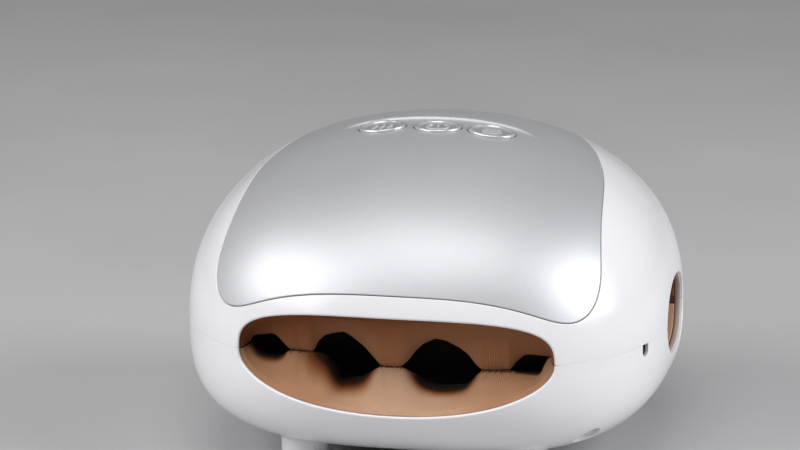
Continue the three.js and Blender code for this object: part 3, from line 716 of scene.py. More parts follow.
def ramp(nt, fac, stops):
    r = node(nt, "ShaderNodeValToRGB")
    e = r.color_ramp.elements
    e[0].position, e[0].color = stops[0][0], (*stops[0][1], 1)
    e[1].position, e[1].color = stops[-1][0], (*stops[-1][1], 1)
    for p, c in stops[1:-1]:
        x = e.new(p)
        x.color = (*c, 1)
    nt.links.new(fac, r.inputs["Fac"])
    return r.outputs["Color"]


def span(nt, fac, lo, hi):
    n = node(nt, "ShaderNodeMapRange")
    n.inputs["To Min"].default_value = lo
    n.inputs["To Max"].default_value = hi
    nt.links.new(fac, n.inputs["Value"])
    return n.outputs["Result"]


def bump(nt, height, b, strength, distance, before=None):
    n = node(nt, "ShaderNodeBump")
    n.inputs["Strength"].default_value = strength
    n.inputs["Distance"].default_value = distance
    nt.links.new(height, n.inputs["Height"])
    if before is not None:
        nt.links.new(before, n.inputs["Normal"])
    if b is not None:
        nt.links.new(n.outputs["Normal"], b.inputs["Normal"])
    return n.outputs["Normal"]


def speckled(name, base, rough, vary=0.08, scale=900, bump_mm=0.01, metal=0.0, rvary=0.06, **sock):
    """Moulded plastic, rubber or metal with fine grain and slight unevenness."""
    m, nt, b = mat(name, base, rough, metal, **sock)
    v = coords(nt)
    broad = noise(nt, v, 35, 3)
    fine = noise(nt, v, scale, 2)
    lo = [c * (1 - vary) for c in base]
    hi = [min(c * (1 + vary), 1) for c in base]
    nt.links.new(ramp(nt, broad, [(0.3, lo), (0.7, hi)]), b.inputs["Base Color"])
    nt.links.new(span(nt, fine, rough - rvary, rough + rvary), b.inputs["Roughness"])
    bump(nt, fine, b, 0.6, bump_mm * 0.001)
    return m


def shell_material():
    m, nt, b = mat("shell_white_gloss", (0.80, 0.797, 0.825), 0.24, 0.0, Coat_Weight=0.3, Coat_Roughness=0.13, IOR=1.48)
    v = coords(nt)
    broad = noise(nt, v, 18, 4)
    nt.links.new(ramp(nt, broad, [(0.25, (0.835, 0.829, 0.858)), (0.75, (0.86, 0.853, 0.88))]), b.inputs["Base Color"])
    micro = noise(nt, v, 420, 2)
    nt.links.new(span(nt, micro, 0.21, 0.28), b.inputs["Roughness"])
    bump(nt, micro, b, 0.25, 0.00001)
    return m


def panel_material(name, dark, light, rough):
    m, nt, b = mat(name, light, rough, 0.5, Coat_Weight=0.12, Coat_Roughness=0.3)
    v = coords(nt)
    flake = node(nt, "ShaderNodeTexVoronoi")
    flake.inputs["Scale"].default_value = 5200
    nt.links.new(v, flake.inputs["Vector"])
    broad = noise(nt, v, 26, 3)
    c1 = ramp(nt, broad, [(0.3, dark), (0.7, light)])
    mix = node(nt, "ShaderNodeMix", data_type="RGBA", blend_type="MULTIPLY")
    mix.inputs[0].default_value = 0.10
    nt.links.new(c1, mix.inputs[6])
    nt.links.new(flake.outputs["Color"], mix.inputs[7])
    nt.links.new(mix.outputs[2], b.inputs["Base Color"])
    fine = noise(nt, v, 2600, 2)
    nt.links.new(span(nt, fine, rough - 0.05, rough + 0.05), b.inputs["Roughness"])
    bump(nt, fine, b, 0.3, 0.000012)
    return m


# painted shade: the hollow layer's u, 0 to 1, by which colours are darkened
def painted_shade_value(nt):
    uv = node(nt, "ShaderNodeUVMap")
    uv.uv_map = "hollow"
    sep = node(nt, "ShaderNodeSeparateXYZ")
    nt.links.new(uv.outputs["UV"], sep.inputs[0])
    return sep.outputs["X"]


def twill_material(name, tint=(1.0, 1.0, 1.0)):
    """Tan twill: diagonal ribs of 0.6 mm on the cloth's own UV, in metres. Its second UV
    layer carries painted shade: how deep in the hollow it lies, and there the colour is painted dark."""
    m, nt, b = mat(name, (0.42, 0.27, 0.155), 0.9, 0.0, Sheen_Weight=0.05, Sheen_Roughness=0.5, Specular_IOR_Level=0.12)
    b.inputs["Sheen Tint"].default_value = (0.95, 0.78, 0.60, 1)
    uv = node(nt, "ShaderNodeUVMap")
    uv.uv_map = "cloth"
    vec = uv.outputs["UV"]

    def wave(angle, pitch, warp, kind="SIN"):
        mp = node(nt, "ShaderNodeMapping")
        mp.inputs["Rotation"].default_value = (0, 0, math.radians(angle))
        nt.links.new(vec, mp.inputs["Vector"])
        w = node(nt, "ShaderNodeTexWave", wave_type="BANDS", bands_direction="X", wave_profile=kind)
        w.inputs["Scale"].default_value = 2 * math.pi / (20 * pitch)
        w.inputs["Distortion"].default_value = warp
        w.inputs["Detail"].default_value = 1.0
        w.inputs["Detail Scale"].default_value = 1.4
        nt.links.new(mp.outputs["Vector"], w.inputs["Vector"])
        return w.outputs["Fac"]

    ribs = wave(20, 0.00062, 0.5)
    yarn = wave(-70, 0.00034, 0.8)
    rib_yarn = node(nt, "ShaderNodeMath", operation="MULTIPLY_ADD")
    nt.links.new(yarn, rib_yarn.inputs[0])
    rib_yarn.inputs[1].default_value = 0.35
    nt.links.new(ribs, rib_yarn.inputs[2])
    sc = node(nt, "ShaderNodeVectorMath", operation="SCALE")
    sc.inputs["Scale"].default_value = 1.0
    nt.links.new(vec, sc.inputs[0])
    blotch = noise(nt, sc.outputs["Vector"], 60, 4)
    fuzz = noise(nt, sc.outputs["Vector"], 3000, 2)
    t = tint
    base = ramp(nt, rib_yarn.outputs[0], [(0.1, (0.36 * t[0], 0.205 * t[1], 0.125 * t[2])), (0.75, (0.66 * t[0], 0.415 * t[1], 0.275 * t[2])), (1.0, (0.73 * t[0], 0.475 * t[1], 0.32 * t[2]))])
    tone = ramp(nt, blotch, [(0.3, (0.90, 0.88, 0.86)), (0.7, (1.0, 1.0, 1.0))])
    mix = node(nt, "ShaderNodeMix", data_type="RGBA", blend_type="MULTIPLY")
    mix.inputs[0].default_value = 1.0
    nt.links.new(base, mix.inputs[6])
    nt.links.new(tone, mix.inputs[7])
    # painted shade: the hollow layer darkens the cloth's colour, down to near black deep in the hollow
    dark = ramp(nt, painted_shade_value(nt), [(0.0, (1, 1, 1)), (0.25, (0.74, 0.60, 0.48)), (0.5, (0.42, 0.22, 0.11)), (0.75, (0.09, 0.035, 0.014)), (1.0, (0.004, 0.0015, 0.0006))])
    mul = node(nt, "ShaderNodeMix", data_type="RGBA", blend_type="MULTIPLY")
    mul.inputs[0].default_value = 1.0
    nt.links.new(mix.outputs[2], mul.inputs[6])
    nt.links.new(dark, mul.inputs[7])
    nt.links.new(mul.outputs[2], b.inputs["Base Color"])
    nt.links.new(span(nt, fuzz, 0.82, 0.97), b.inputs["Roughness"])
    n1 = bump(nt, fuzz, None, 0.4, 0.00006)
    bump(nt, rib_yarn.outputs[0], b, 0.9, 0.00014, n1)
    return m


def collar_material():
    """Pale collar, painted darker and browner as shade where it goes in under the cloth."""
    m, nt, b = mat("collar_pale", (0.62, 0.56, 0.53), 0.45, 0.0, Specular_IOR_Level=0.3)
    v = coords(nt)
    fine = noise(nt, v, 700, 2)
    tone = ramp(nt, noise(nt, v, 40, 3), [(0.3, (0.94, 0.94, 0.94)), (0.7, (1, 1, 1))])
    # painted shade: the hollow layer darkens the collar to deep brown
    base = ramp(nt, painted_shade_value(nt), [(0.0, (0.72, 0.65, 0.63)), (0.5, (0.54, 0.44, 0.40)), (1.0, (0.20, 0.12, 0.08))])
    mix = node(nt, "ShaderNodeMix", data_type="RGBA", blend_type="MULTIPLY")
    mix.inputs[0].default_value = 1.0
    nt.links.new(base, mix.inputs[6])
    nt.links.new(tone, mix.inputs[7])
    nt.links.new(mix.outputs[2], b.inputs["Base Color"])
    nt.links.new(span(nt, fine, 0.40, 0.52), b.inputs["Roughness"])
    bump(nt, fine, b, 0.5, 0.00002)
    return m


def winding_material():
    m, nt, b = mat("copper_winding", (0.62, 0.28, 0.12), 0.32, 0.9)
    v = coords(nt)
    w = node(nt, "ShaderNodeTexWave", wave_type="BANDS", bands_direction="Z", wave_profile="SIN")
    w.inputs["Scale"].default_value = 2 * math.pi / (20 * 0.0005)
    w.inputs["Distortion"].default_value = 0.4
    nt.links.new(v, w.inputs["Vector"])
    nt.links.new(ramp(nt, w.outputs["Fac"], [(0.1, (0.30, 0.11, 0.04)), (0.8, (0.72, 0.34, 0.15))]), b.inputs["Base Color"])
    bump(nt, w.outputs["Fac"], b, 0.8, 0.0001)
    return m


def board_material():
    m, nt, b = mat("circuit_board", (0.02, 0.12, 0.06), 0.35, 0.0, Coat_Weight=0.4, Coat_Roughness=0.15)
    v = coords(nt)
    br = node(nt, "ShaderNodeTexBrick")
    br.inputs["Scale"].default_value = 330
    br.inputs["Mortar Size"].default_value = 0.03
    br.inputs["Color1"].default_value = (0.012, 0.10, 0.045, 1)
    br.inputs["Color2"].default_value = (0.02, 0.14, 0.07, 1)
    br.inputs["Mortar"].default_value = (0.10, 0.30, 0.14, 1)
    nt.links.new(v, br.inputs["Vector"])
    nt.links.new(br.outputs["Color"], b.inputs["Base Color"])
    fine = noise(nt, v, 700, 2)
    nt.links.new(span(nt, fine, 0.28, 0.42), b.inputs["Roughness"])
    bump(nt, br.outputs["Fac"], b, 0.5, 0.00004)
    return m


M = {
    "shell_white": shell_material(),
    "panel_silver": panel_material("panel_silver_satin", (0.64, 0.652, 0.672), (0.68, 0.692, 0.712), 0.50),
    "key_silver": panel_material("key_silver_satin", (0.58, 0.593, 0.612), (0.64, 0.653, 0.672), 0.36),
    "key_rim": panel_material("key_rim_polished", (0.72, 0.73, 0.745), (0.76, 0.77, 0.785), 0.24),
    "key_mark": speckled("key_mark_bright", (0.66, 0.67, 0.69), 0.35, metal=0.35),
    # sleeve_twill is a paler copy of the lining twill: painted light on the sleeves' lower halves, whose upper halves
    # take the shaded copy
    "sleeve_twill": twill_material("sleeve_twill", (1.18, 1.20, 1.24)),
    "lining_twill": twill_material("lining_twill_tan"),
    "lining_shaded": twill_material("lining_twill_shaded", (0.62, 0.45, 0.33)),
    "collar": collar_material(),
    "ring_plastic": speckled("ring_pale_satin", (0.62, 0.60, 0.60), 0.42, 0.05, 700, 0.02),
    "frame_plastic": speckled("frame_dark", (0.10, 0.105, 0.11), 0.55, 0.12, 800, 0.03),
    "airbag_film": speckled("airbag_coated", (0.07, 0.075, 0.085), 0.4, 0.15, 260, 0.08),
    "heating_film": speckled("heating_film_laminate", (0.10, 0.07, 0.04), 0.35, 0.2, 160, 0.02),
    "circuit_board": board_material(),
    "black_plastic": speckled("black_moulded", (0.022, 0.022, 0.024), 0.42, 0.2, 900, 0.02),
    "plated_steel": speckled("plated_steel", (0.60, 0.61, 0.62), 0.28, 0.06, 1400, 0.01, metal=1.0),
    "copper_winding": winding_material(),
    "brass_contact": speckled("brass_contact", (0.62, 0.46, 0.20), 0.3, 0.08, 1200, 0.01, metal=1.0),
    "black_rubber": speckled("black_rubber", (0.03, 0.03, 0.031), 0.8, 0.15, 600, 0.05),
    "air_tube": speckled("silicone_tube", (0.70, 0.73, 0.75), 0.35, 0.05, 300, 0.02, Transmission_Weight=0.15),
    "battery_wrap": speckled("battery_wrap", (0.05, 0.12, 0.38), 0.25, 0.1, 140, 0.05),
    "thread": speckled("dark_thread", (0.10, 0.055, 0.03), 0.8, 0.2, 2500, 0.03),
}
slot_of = {s["node"]: s["material_slot"] for s in frame["record"]["subparts"]}
for name, ob in frame["nodes"].items():
    ob.data.materials.clear()
    ob.data.materials.append(M[slot_of[name]])

# ------------------------------------------------------------------ case shells and panel
wells_up = []
upper_curves = [recess_curve()]
slot_c = opening_curve("slot", slot_fn, np.array([0, -1.0, 0]), 300, 1.0)
wrist_c = opening_curve("wrist", wrist_fn, np.array([0, 1.0, 0]), 280, 1.4)
thumb_r = opening_curve("thumb_right", thumb_fn, np.array([1.0, 0, 0]), 200, 0.6)
thumb_l = opening_curve("thumb_left", thumb_fn, np.array([-1.0, 0, 0]), 200, 0.6)

V, F, LN = skin(1, parting_curve(1), [upper_curves[0], thumb_r, thumb_l, wrist_c, slot_c], 2.4, WALL)
upper = make("case_upper", V, F, LN, [M["shell_white"]])
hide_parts("upper_shell")
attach(upper, "case")

lower_curves = [leg_curve(*f) for f in FEET] + [well_curve(sx, y) for sx, y in WELLS] + [port_curve(), thumb_r, thumb_l, wrist_c, slot_c]
V, F, LN = skin(-1, parting_curve(-1), lower_curves, 2.4, WALL)
lower = make("case_lower", V, F, LN, [M["shell_white"]])
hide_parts("lower_shell")
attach(lower, "case")

rx = np.linspace(-RIDGE_X - 4.2, RIDGE_X + 4.2, 160)
ridge_pts = []
for off in np.linspace(-2.3, 2.3, 14):
    yc = 12.3 - 7.2 * (rx / RIDGE_X) ** 2 + 0.022 * rx
    sl = -14.4 * rx / RIDGE_X ** 2 + 0.022
    n2 = np.stack([-sl, np.ones_like(sl)], 1) / np.sqrt(1 + sl ** 2)[:, None]
    ridge_pts.append(hit(np.stack([rx + n2[:, 0] * off, yc + n2[:, 1] * off, 0 * rx], 1), np.array([0, 0, 1.0])))
ridge_pts = np.concatenate(ridge_pts)
V, F, LN = skin(1, panel_edge(), [key_hole(k) for k in KEYS], 2.0, PANEL, ridge_pts, ridge_height)
panel = make("top_cover", V, F, LN, [M["panel_silver"]])
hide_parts("top_panel")
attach(panel, "case")


# ------------------------------------------------------------------ lathe, loft and sweep helpers
def loft(rings, close_start=True, close_end=True):
    """Faces between rings of equal count, with flat ends."""
    n = len(rings[0])
    V = np.concatenate(rings)
    F = []
    for k in range(len(rings) - 1):
        a, b = k * n, (k + 1) * n
        F += [(a + i, a + (i + 1) % n, b + (i + 1) % n, b + i) for i in range(n)]
    if close_start:
        F.append(tuple(range(n))[::-1])
    if close_end:
        F.append(tuple(range((len(rings) - 1) * n, len(rings) * n)))
    return V, F


def sharp(ob, degrees=35):
    me = ob.data
    me.shade_smooth()
    import bmesh
    bm = bmesh.new()
    bm.from_mesh(me)
    for e in bm.edges:
        if len(e.link_faces) == 2 and e.calc_face_angle(0) > math.radians(degrees):
            e.smooth = False
    bmesh.ops.recalc_face_normals(bm, faces=bm.faces)
    bm.to_mesh(me)
    bm.free()
    return ob


# ------------------------------------------------------------------ keys
def ring_at(k, grow, h, t):
    u, v = oval(KEY_A, KEY_B, KEY_N, t, grow)
    return on_key(k, u, v, h)


def stroke(k, pts, width, h0, h1, closed=False):
    """A raised mark on a key: a bar of the given width along pts."""
    P = np.array(pts, float)
    if closed:
        T = unit(np.roll(P, -1, 0) - np.roll(P, 1, 0))
    else:
        T = unit(np.gradient(P, axis=0))
    S = np.stack([-T[:, 1], T[:, 0]], 1)
    prof = [(-0.5, h0), (-0.5, h0 + 0.6 * (h1 - h0)), (-0.3, h1), (0.3, h1), (0.5, h0 + 0.6 * (h1 - h0)), (0.5, h0)]
    rows = []
    for a, h in prof:
        q = P + S * a * width
        rows.append(on_key(k, q[:, 0], q[:, 1], h))
    n, m = len(P), len(prof)
    V = np.concatenate(rows)
    F = []
    for j in range(m):
        j2 = (j + 1) % m
        for i in range(n if closed else n - 1):
            i2 = (i + 1) % n
            F.append((j * n + i, j * n + i2, j2 * n + i2, j2 * n + i))
    if not closed:
        F.append([j * n for j in range(m)])
        F.append([j * n + n - 1 for j in range(m)][::-1])
    return V, F


def marks_heat(k):
    out = []
    for x0 in (-3.0, 0.0, 3.0):
        s = np.linspace(-1, 1, 19)
        out.append(stroke(k, np.stack([x0 + 0.55 * np.sin(s * math.pi), s * 2.9], 1), 1.15, 0.02, 0.42))
    return out


def marks_power(k):
    a = np.radians(np.linspace(90 + 38, 90 + 322, 46))
    out = [stroke(k, np.stack([4.2 * np.cos(a), 3.5 * np.sin(a)], 1), 1.0, 0.02, 0.42)]
    s = np.linspace(0, 1, 6)
    out.append(stroke(k, np.stack([0 * s, 0.2 + 3.5 * s], 1), 1.0, 0.02, 0.42))
    return out


def marks_mode(k):
    out = []
    for y0, w in ((-2.3, 3.2), (0.0, 3.9), (2.3, 3.2)):
        s = np.linspace(-1, 1, 9)
        out.append(stroke(k, np.stack([s * w, y0 + 0 * s], 1), 1.35, 0.02, 0.40))
    return out


for i, (node_name, body, marks) in enumerate((("heat_button", "heat_key", marks_heat), ("power_button", "power_key", marks_power), ("mode_button", "mode_key", marks_mode))):
    k = KEYS[i]
    t = even(lambda a: oval(KEY_A, KEY_B, KEY_N, a), 96)
    prof = [(0.6, -4.1), (0.6, -3.2), (-0.35, -3.2), (-0.35, 0.05), (-0.38, 0.28), (-0.5, 0.52), (-0.72, 0.68), (-1.0, 0.74), (-1.28, 0.69), (-1.5, 0.52),
            (-1.66, 0.30), (-1.82, 0.17), (-2.2, 0.10), (-3.2, 0.07), (-4.6, 0.05), (-6.2, 0.03)]
    rings = [ring_at(k, g, h, t) for g, h in prof]
    V, F = loft(rings, close_end=True)
    key = make(node_name + "_cap", V, F, None, [M["key_silver"], M["key_rim"]])
    for face in key.data.polygons:
        if 3 * 96 <= face.index < 13 * 96:
            face.material_index = 1
    sharp(key, 50)
    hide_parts(node_name)
    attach(key, body)
    Vs, Fs, at = [], [], 0
    stem = []
    for h, r in ((-7.0, 1.1), (-6.8, 1.4), (-4.1, 1.4)):
        a = np.arange(20) / 20 * 2 * math.pi
        stem.append(on_key(k, r * np.cos(a), r * np.sin(a), h))
    sv, sf = loft(stem)
    stem_ob = sharp(make(node_name + "_stem", sv, sf, None, [M["black_plastic"]]))
    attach(stem_ob, body)
    for v, f in marks(k):
        Vs.append(v)
        Fs += [[q + at for q in face] for face in f]
        at += len(v)
    mark = sharp(make(node_name + "_symbol", np.concatenate(Vs), Fs, None, [M["key_mark"]]), 40)
    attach(mark, body)


# ------------------------------------------------------------------ rings at the openings
def ring_piece(name, fn, direction, prof, count, cad):
    t = even(lambda a: fn(a), count)
    ax = int(np.argmax(np.abs(direction)))

    def place(g, d):
        u, v = fn(t, g)
        o = np.stack([u, 0 * u, v], 1) if ax == 1 else np.stack([0 * u, u, v], 1)
        return hit(o, direction, d)

    rings = [place(g, d) for g, d in prof]
    n, m = count, len(prof)
    V = np.concatenate(rings)
    F = []
    for j in range(m):
        j2 = (j + 1) % m
        F += [(j * n + i, j * n + (i + 1) % n, j2 * n + (i + 1) % n, j2 * n + i) for i in range(n)]
    ob = sharp(make(name, V, F, None, [M["collar"]]), 30)
    # painted shade: the thumb collars darken with depth into the case, the wrist and slot collars are painted dark all
    # over
    shade_layer(ob, np.repeat([float(np.clip((d - 1.0) / 2.4, 0, 1)) if "thumb" in name else 1.0 for g, d in prof], count))
    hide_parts(cad)
    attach(ob, "case")
    return ob


LIP = [(-0.12, 5.2), (-0.12, 3.4), (-0.6, 3.15), (-0.6, 1.45), (-0.56, 1.2), (-0.43, 1.05), (-0.26, 1.0), (-0.08, 1.0), (-0.08, 2.8), (4.4, 2.8), (4.4, 5.2)]
ring_piece("thumb_collar_right", thumb_fn, np.array([1.0, 0, 0]), LIP, 160, "right_thumb_ring")
ring_piece("thumb_collar_left", thumb_fn, np.array([-1.0, 0, 0]), LIP, 160, "left_thumb_ring")
RIM = [(-0.5, 5.2), (-0.5, 3.3), (-0.43, 3.0), (-0.25, 2.85), (0.0, 2.8), (4.0, 2.8), (4.0, 5.2)]
ring_piece("wrist_collar", wrist_fn, np.array([0, 1.0, 0]), RIM, 220, "wrist_ring")
CLAMP = [(-1.3, 5.2), (-1.3, 3.9), (-1.2, 3.75), (-1.0, 3.7), (0.0, 2.8), (3.2, 2.8), (3.2, 5.2)]
ring_piece("slot_collar", slot_fn, np.array([0, -1.0, 0]), CLAMP, 260, "finger_slot_ring")

# ------------------------------------------------------------------ lining
TACK_Y = -71.0
# heights in the row of tacks, from side to side: where the sheets meet, the upper
# sheet's hanging edge, and the lower sheet's crest
MEET = ([-59, -43.3, -33.6, -7.8, 0.6, 31.2, 42.6, 54.4, 55.6, 59], [0.3, -1.3, -1.4, -5.9, -5.6, -5.1, -4.6, -1.8, 1.2, 1.4])
HANG = ([-59, -58.3, -57.3, -55, -49.6, -48.0, -43.3, -41.2, -33.6, -32.9, -31.9, -29.3, -25.9, -21.7, -19.2, -14.2, -8.3, -7.1, 0.1, 3.5, 5.1, 8.5, 13.5, 17.7, 22.7, 26.1, 28.6, 31.2, 42.4, 44.4, 47.7, 51.1, 54.8, 59],
        [0.5, 2.4, 3.9, 4.3, 4.9, 4.0, -1.1, -1.2, -1.2, 0.8, 3.2, 5.5, 6.6, 7.2, 5.7, 1.7, -4.9, -5.7, -5.4, -2.3, 0.4, 3.8, 6.2, 5.5, 3.2, 0.9, -2.4, -4.9, -4.4, -1.5, 1.6, 1.9, 1.7, 1.6])
CREST = ([-59, -58.2, -57, -54, -51.5, -47.4, -43.3, -33.0, -30.0, -27.6, -26.4, -25.2, -22.7, -15.9, -10.9, -7.9, 0.9, 5.1, 9.3, 14.3, 20.2, 25.2, 28.6, 31.1, 43.0, 49.4, 54.2, 55.0, 55.8, 59],
         [0.1, -0.9, -1.8, -3.5, -4.1, -4.1, -1.6, -1.7, -2.1, -3.2, -6.2, -9.8, -12.4, -11.4, -8.0, -6.1, -5.9, -9.0, -12.2, -13.6, -13.4, -12.0, -8.1, -5.4, -4.9, -5.5, -5.8, -2.5, 1.0, 1.2])
TACKS = [(-42.6, -34.0), (-7.6, 0.4), (31.4, 42.2)]      # the sewn stretches


def eased(table, sigma):
    """A table of heights as a smooth curve over the width."""
    x = np.arange(-66, 66.01, 0.1)
    z = np.interp(x, *table)
    g = np.exp(-0.5 * (np.arange(-30, 31) * 0.1 / sigma) ** 2)
    z = np.convolve(np.pad(z, 30, mode="edge"), g / g.sum(), mode="valid")
    return lambda v: np.interp(v, x, z)


meet_fn, hang_fn, crest_fn = eased(MEET, 0.35), eased(HANG, 0.55), eased(CREST, 0.9)


def smooth(a, b, v):
    t = np.clip((v - a) / (b - a), 0, 1)
    return t * t * (3 - 2 * t)


# half section of the tunnel, evenly spaced along its arc: |X|^3 + |Z|^3 = 1
_f = np.linspace(0, math.pi, 6001)
_X, _Z = -np.sign(np.cos(_f)) * np.abs(np.cos(_f)) ** (2 / 3), np.sin(_f) ** (2 / 3)
_s = np.concatenate([[0], np.cumsum(np.hypot(np.diff(_X * 59), np.diff(_Z * 18)))])
_s = _s / _s[-1] * 2 - 1


def tunnel(y):
    w = 59 + 7 * max(0, 1 - ((y - 7) / 45) ** 2)
    hu = 17.0 + 4.6 * smooth(-70, -52, y) + 6.8 * smooth(50, 80, y)
    hl = 18.6 + 1.8 * smooth(-70, -52, y) + 2.6 * smooth(50, 80, y)
    return w, hu, hl


def row_of(y, sigma, up):
    """One row of a lining sheet across the tunnel; sigma runs from -1 to 1 along its arc."""
    sg = 1 if up else -1
    X, Z = np.interp(sigma, _s, _X), np.interp(sigma, _s, _Z)
    q, c = np.sign(X) * np.abs(X) ** 1.5, np.clip(Z, 0, 1) ** 1.5
    w, hu, hl = tunnel(y)
    h = hu if up else hl
    x, z = X * w, sg * h * Z
    if y < -66:                              # the front follows the slot's own outline
        nn = SLOT[2] if up else SLOT[4]
        reach = HD * np.clip(1 - np.abs(x / HW) ** 2.49, 0, 1) ** (1 / 2.49) - 1.2 + TACK_Y
        ins = 0.32 + 1.2 * smooth(0.3, 2.6, np.clip((85 + y) / 14, 0, 1) * reach)
        xs = SLOT_AT[0] + np.sign(q) * (SLOT[0] - ins) * np.abs(q) ** (2 / nn)
        zs = SLOT_AT[1] + sg * ((SLOT[1] if up else SLOT[3]) - ins) * c ** (2 / nn)
        f = 1 - smooth(-81, -66, y)
        x, z = x * (1 - f) + xs * f, z * (1 - f) + zs * f
    if y > 62:
        nn = WRIST[2] if up else WRIST[4]
        xs = np.sign(q) * (WRIST[0] - 0.7) * np.abs(q) ** (2 / nn)
        zs = sg * ((WRIST[1] if up else WRIST[3]) - 0.7) * c ** (2 / nn)
        f = smooth(62, 82, y)
        x, z = x * (1 - f) + xs * f, z * (1 - f) + zs * f
    meet = meet_fn(x)
    dy = y - TACK_Y
    target = hang_fn(x) if up else crest_fn(x)
    sewn = np.exp(-((np.abs(target - meet)) / 2.6) ** 2)
    front, behind = (6.0, 8.0) if up else (6.6, 9.0 * sewn + 21.0 * (1 - sewn))
    k = np.exp(-((dy / (front if dy < 0 else behind)) ** 2))
    z = z * (1 - k) + target * k
    # soft pleats that run forward from the sewn stretches, and a slow unevenness
    for i, (x0, x1) in enumerate(TACKS):
        xm, half = (x0 + x1) / 2, (x1 - x0) / 2
        away = np.abs(x - xm) / half
        pleat = np.cos((x - xm) * (1.35 - 0.04 * abs(dy)) + 1.3 * i)
        z = z + sg * 0.22 * pleat * np.exp(-(away / 1.7) ** 2) * np.exp(-((dy + 4.6) / 3.2) ** 2)
    z = z + sg * 0.16 * np.sin(x * 0.21 + y * 0.13 + (1.1 if up else 2.7)) * smooth(-84, -79, y) * (1 - smooth(74, 80, y)) * np.clip(c * 2, 0, 1)
    m = meet * np.exp(-((dy / 14.0) ** 2))
    z = sg * np.maximum(sg * z, sg * m + 0.10)
    return x, z


def thumb_limit(y, up, grow=-1.2):
    u = np.abs((y - THUMB[0]) / (THUMB[2] + grow))
    if u >= 1:
        return None
    return THUMB[1] + (1 if up else -1) * (THUMB[3] + grow) * (1 - u ** THUMB[4]) ** (1 / THUMB[4])


def lining(up, cols=230):
    sg = 1 if up else -1
    a = THUMB[2] - 1.2
    th = np.linspace(math.pi, 0, 30)
    ys = np.concatenate([np.linspace(-85, -71, 28)[:-1], np.linspace(-71, -52, 26)[:-1], np.linspace(-52, THUMB[0] - a - 0.6, 18),
                         THUMB[0] + a * np.cos(th) * 0.9999, np.linspace(THUMB[0] + a + 0.6, 52, 14)[:-1], np.linspace(52, 86, 24)])
    rows = []
    fine = np.linspace(-1, 1, 2401)
    for y in ys:
        left, right = -1.0, 1.0
        lim = thumb_limit(y, up)
        if lim is not None and sg * lim > 0.12:
            fx, fz = row_of(y, fine, up)
            out = sg * fz < sg * lim
            mid = len(fine) // 2
            r = np.argmax(out[mid:]) if out[mid:].any() else None
            l = np.argmax(out[:mid + 1][::-1]) if out[:mid + 1].any() else None
            if r:
                right = fine[mid + r]
            if l:
                left = fine[mid - l]
        x, z = row_of(y, np.linspace(left, right, cols), up)
        yy = np.full(cols, float(y))
        if abs(y) > 60:
            lim = -1.0 if y < 0 else 1.0
            e = hit(np.stack([x, 0 * x, z], 1), np.array([0, lim, 0]), 1.15 if y < 0 else 3.4)[:, 1]
            f = np.clip((abs(y) - 71) / 14.0, 0, 1) if y < 0 else smooth(60, 86, y)
            yy = y + (e - (-85.0 if y < 0 else 86.0)) * f
        rows.append(np.stack([x, yy, z], 1))
    return np.stack(rows)


def cloth_uv(me, U, name="cloth"):
    layer = me.uv_layers.new(name=name)
    idx = np.zeros(len(me.loops), int)
    me.loops.foreach_get("vertex_index", idx)
    layer.data.foreach_set("uv", U[idx].astype(np.float32).ravel())


def flat_coords(G):
    """Cloth coordinates in metres: along each row from its middle, and along the middle."""
    R, C = G.shape[:2]
    lu = np.concatenate([np.zeros((R, 1)), np.cumsum(np.linalg.norm(np.diff(G, axis=1), axis=2), 1)], 1)
    lu = lu - lu[:, C // 2:C // 2 + 1]
    lv = np.concatenate([[0], np.cumsum(np.linalg.norm(np.diff(G[:, C // 2], axis=0), axis=1))])
    return np.stack([lu, np.broadcast_to(lv[:, None], lu.shape)], 2).reshape(-1, 2) * 0.001


def thick_grid(name, G, away_hint, thick, mat_, edge=0.3, taper=4):
    """A sheet with a back. G is the face that shows; the back lies on the side of away_hint."""
    R, C = G.shape[:2]
    Nn = unit(np.cross(np.gradient(G, axis=1), np.gradient(G, axis=0)))
    s0 = np.sign(np.sum(Nn[R // 2, C // 2] * np.asarray(away_hint)))
    Nn = Nn * s0
    i, j = np.arange(R)[:, None], np.arange(C)[None]
    border = np.minimum(np.minimum(i, R - 1 - i), np.minimum(j, C - 1 - j)) / taper
    th = (edge + (thick - edge) * np.sqrt(np.clip(border, 0, 1)))[..., None]
    B = G + Nn * th
    V = np.concatenate([G.reshape(-1, 3), B.reshape(-1, 3)])
    U = flat_coords(G)
    U = np.concatenate([U, U])
    ii, jj = np.meshgrid(np.arange(R - 1), np.arange(C - 1), indexing="ij")
    v0 = (ii * C + jj).ravel()
    front = np.stack([v0, v0 + 1, v0 + C + 1, v0 + C], 1)
    backf = front + R * C
    if s0 > 0:                               # rows x columns turn so that the face looks to the hollow
        front = front[:, ::-1]
    else:
        backf = backf[:, ::-1]
    F = front.tolist() + backf.tolist()
    ring = [(0, c) for c in range(C)] + [(r, C - 1) for r in range(1, R)] + [(R - 1, c) for c in range(C - 2, -1, -1)] + [(r, 0) for r in range(R - 2, 0, -1)]
    ids = [r * C + c for r, c in ring]
    for k in range(len(ids)):
        a, b = ids[k], ids[(k + 1) % len(ids)]
        f = (a, a + R * C, b + R * C, b)
        F.append(f[::-1] if s0 > 0 else f)
    ob = make(name, V, F, None, [mat_])
    cloth_uv(ob.data, U)
    import bmesh
    bm = bmesh.new()
    bm.from_mesh(ob.data)
    bmesh.ops.recalc_face_normals(bm, faces=bm.faces)
    bm.to_mesh(ob.data)
    bm.free()
    quad = np.cross(G[1:, 1:] - G[:-1, :-1], G[1:, :-1] - G[:-1, 1:])
    size = 0.5 * np.linalg.norm(quad, axis=2).sum() * 1e-6
    across = np.linalg.norm(np.diff(G, axis=1), axis=2).sum(1).max() * 0.001
    along = np.linalg.norm(np.diff(G, axis=0), axis=2).sum(0).max() * 0.001
    return ob, size, across, along


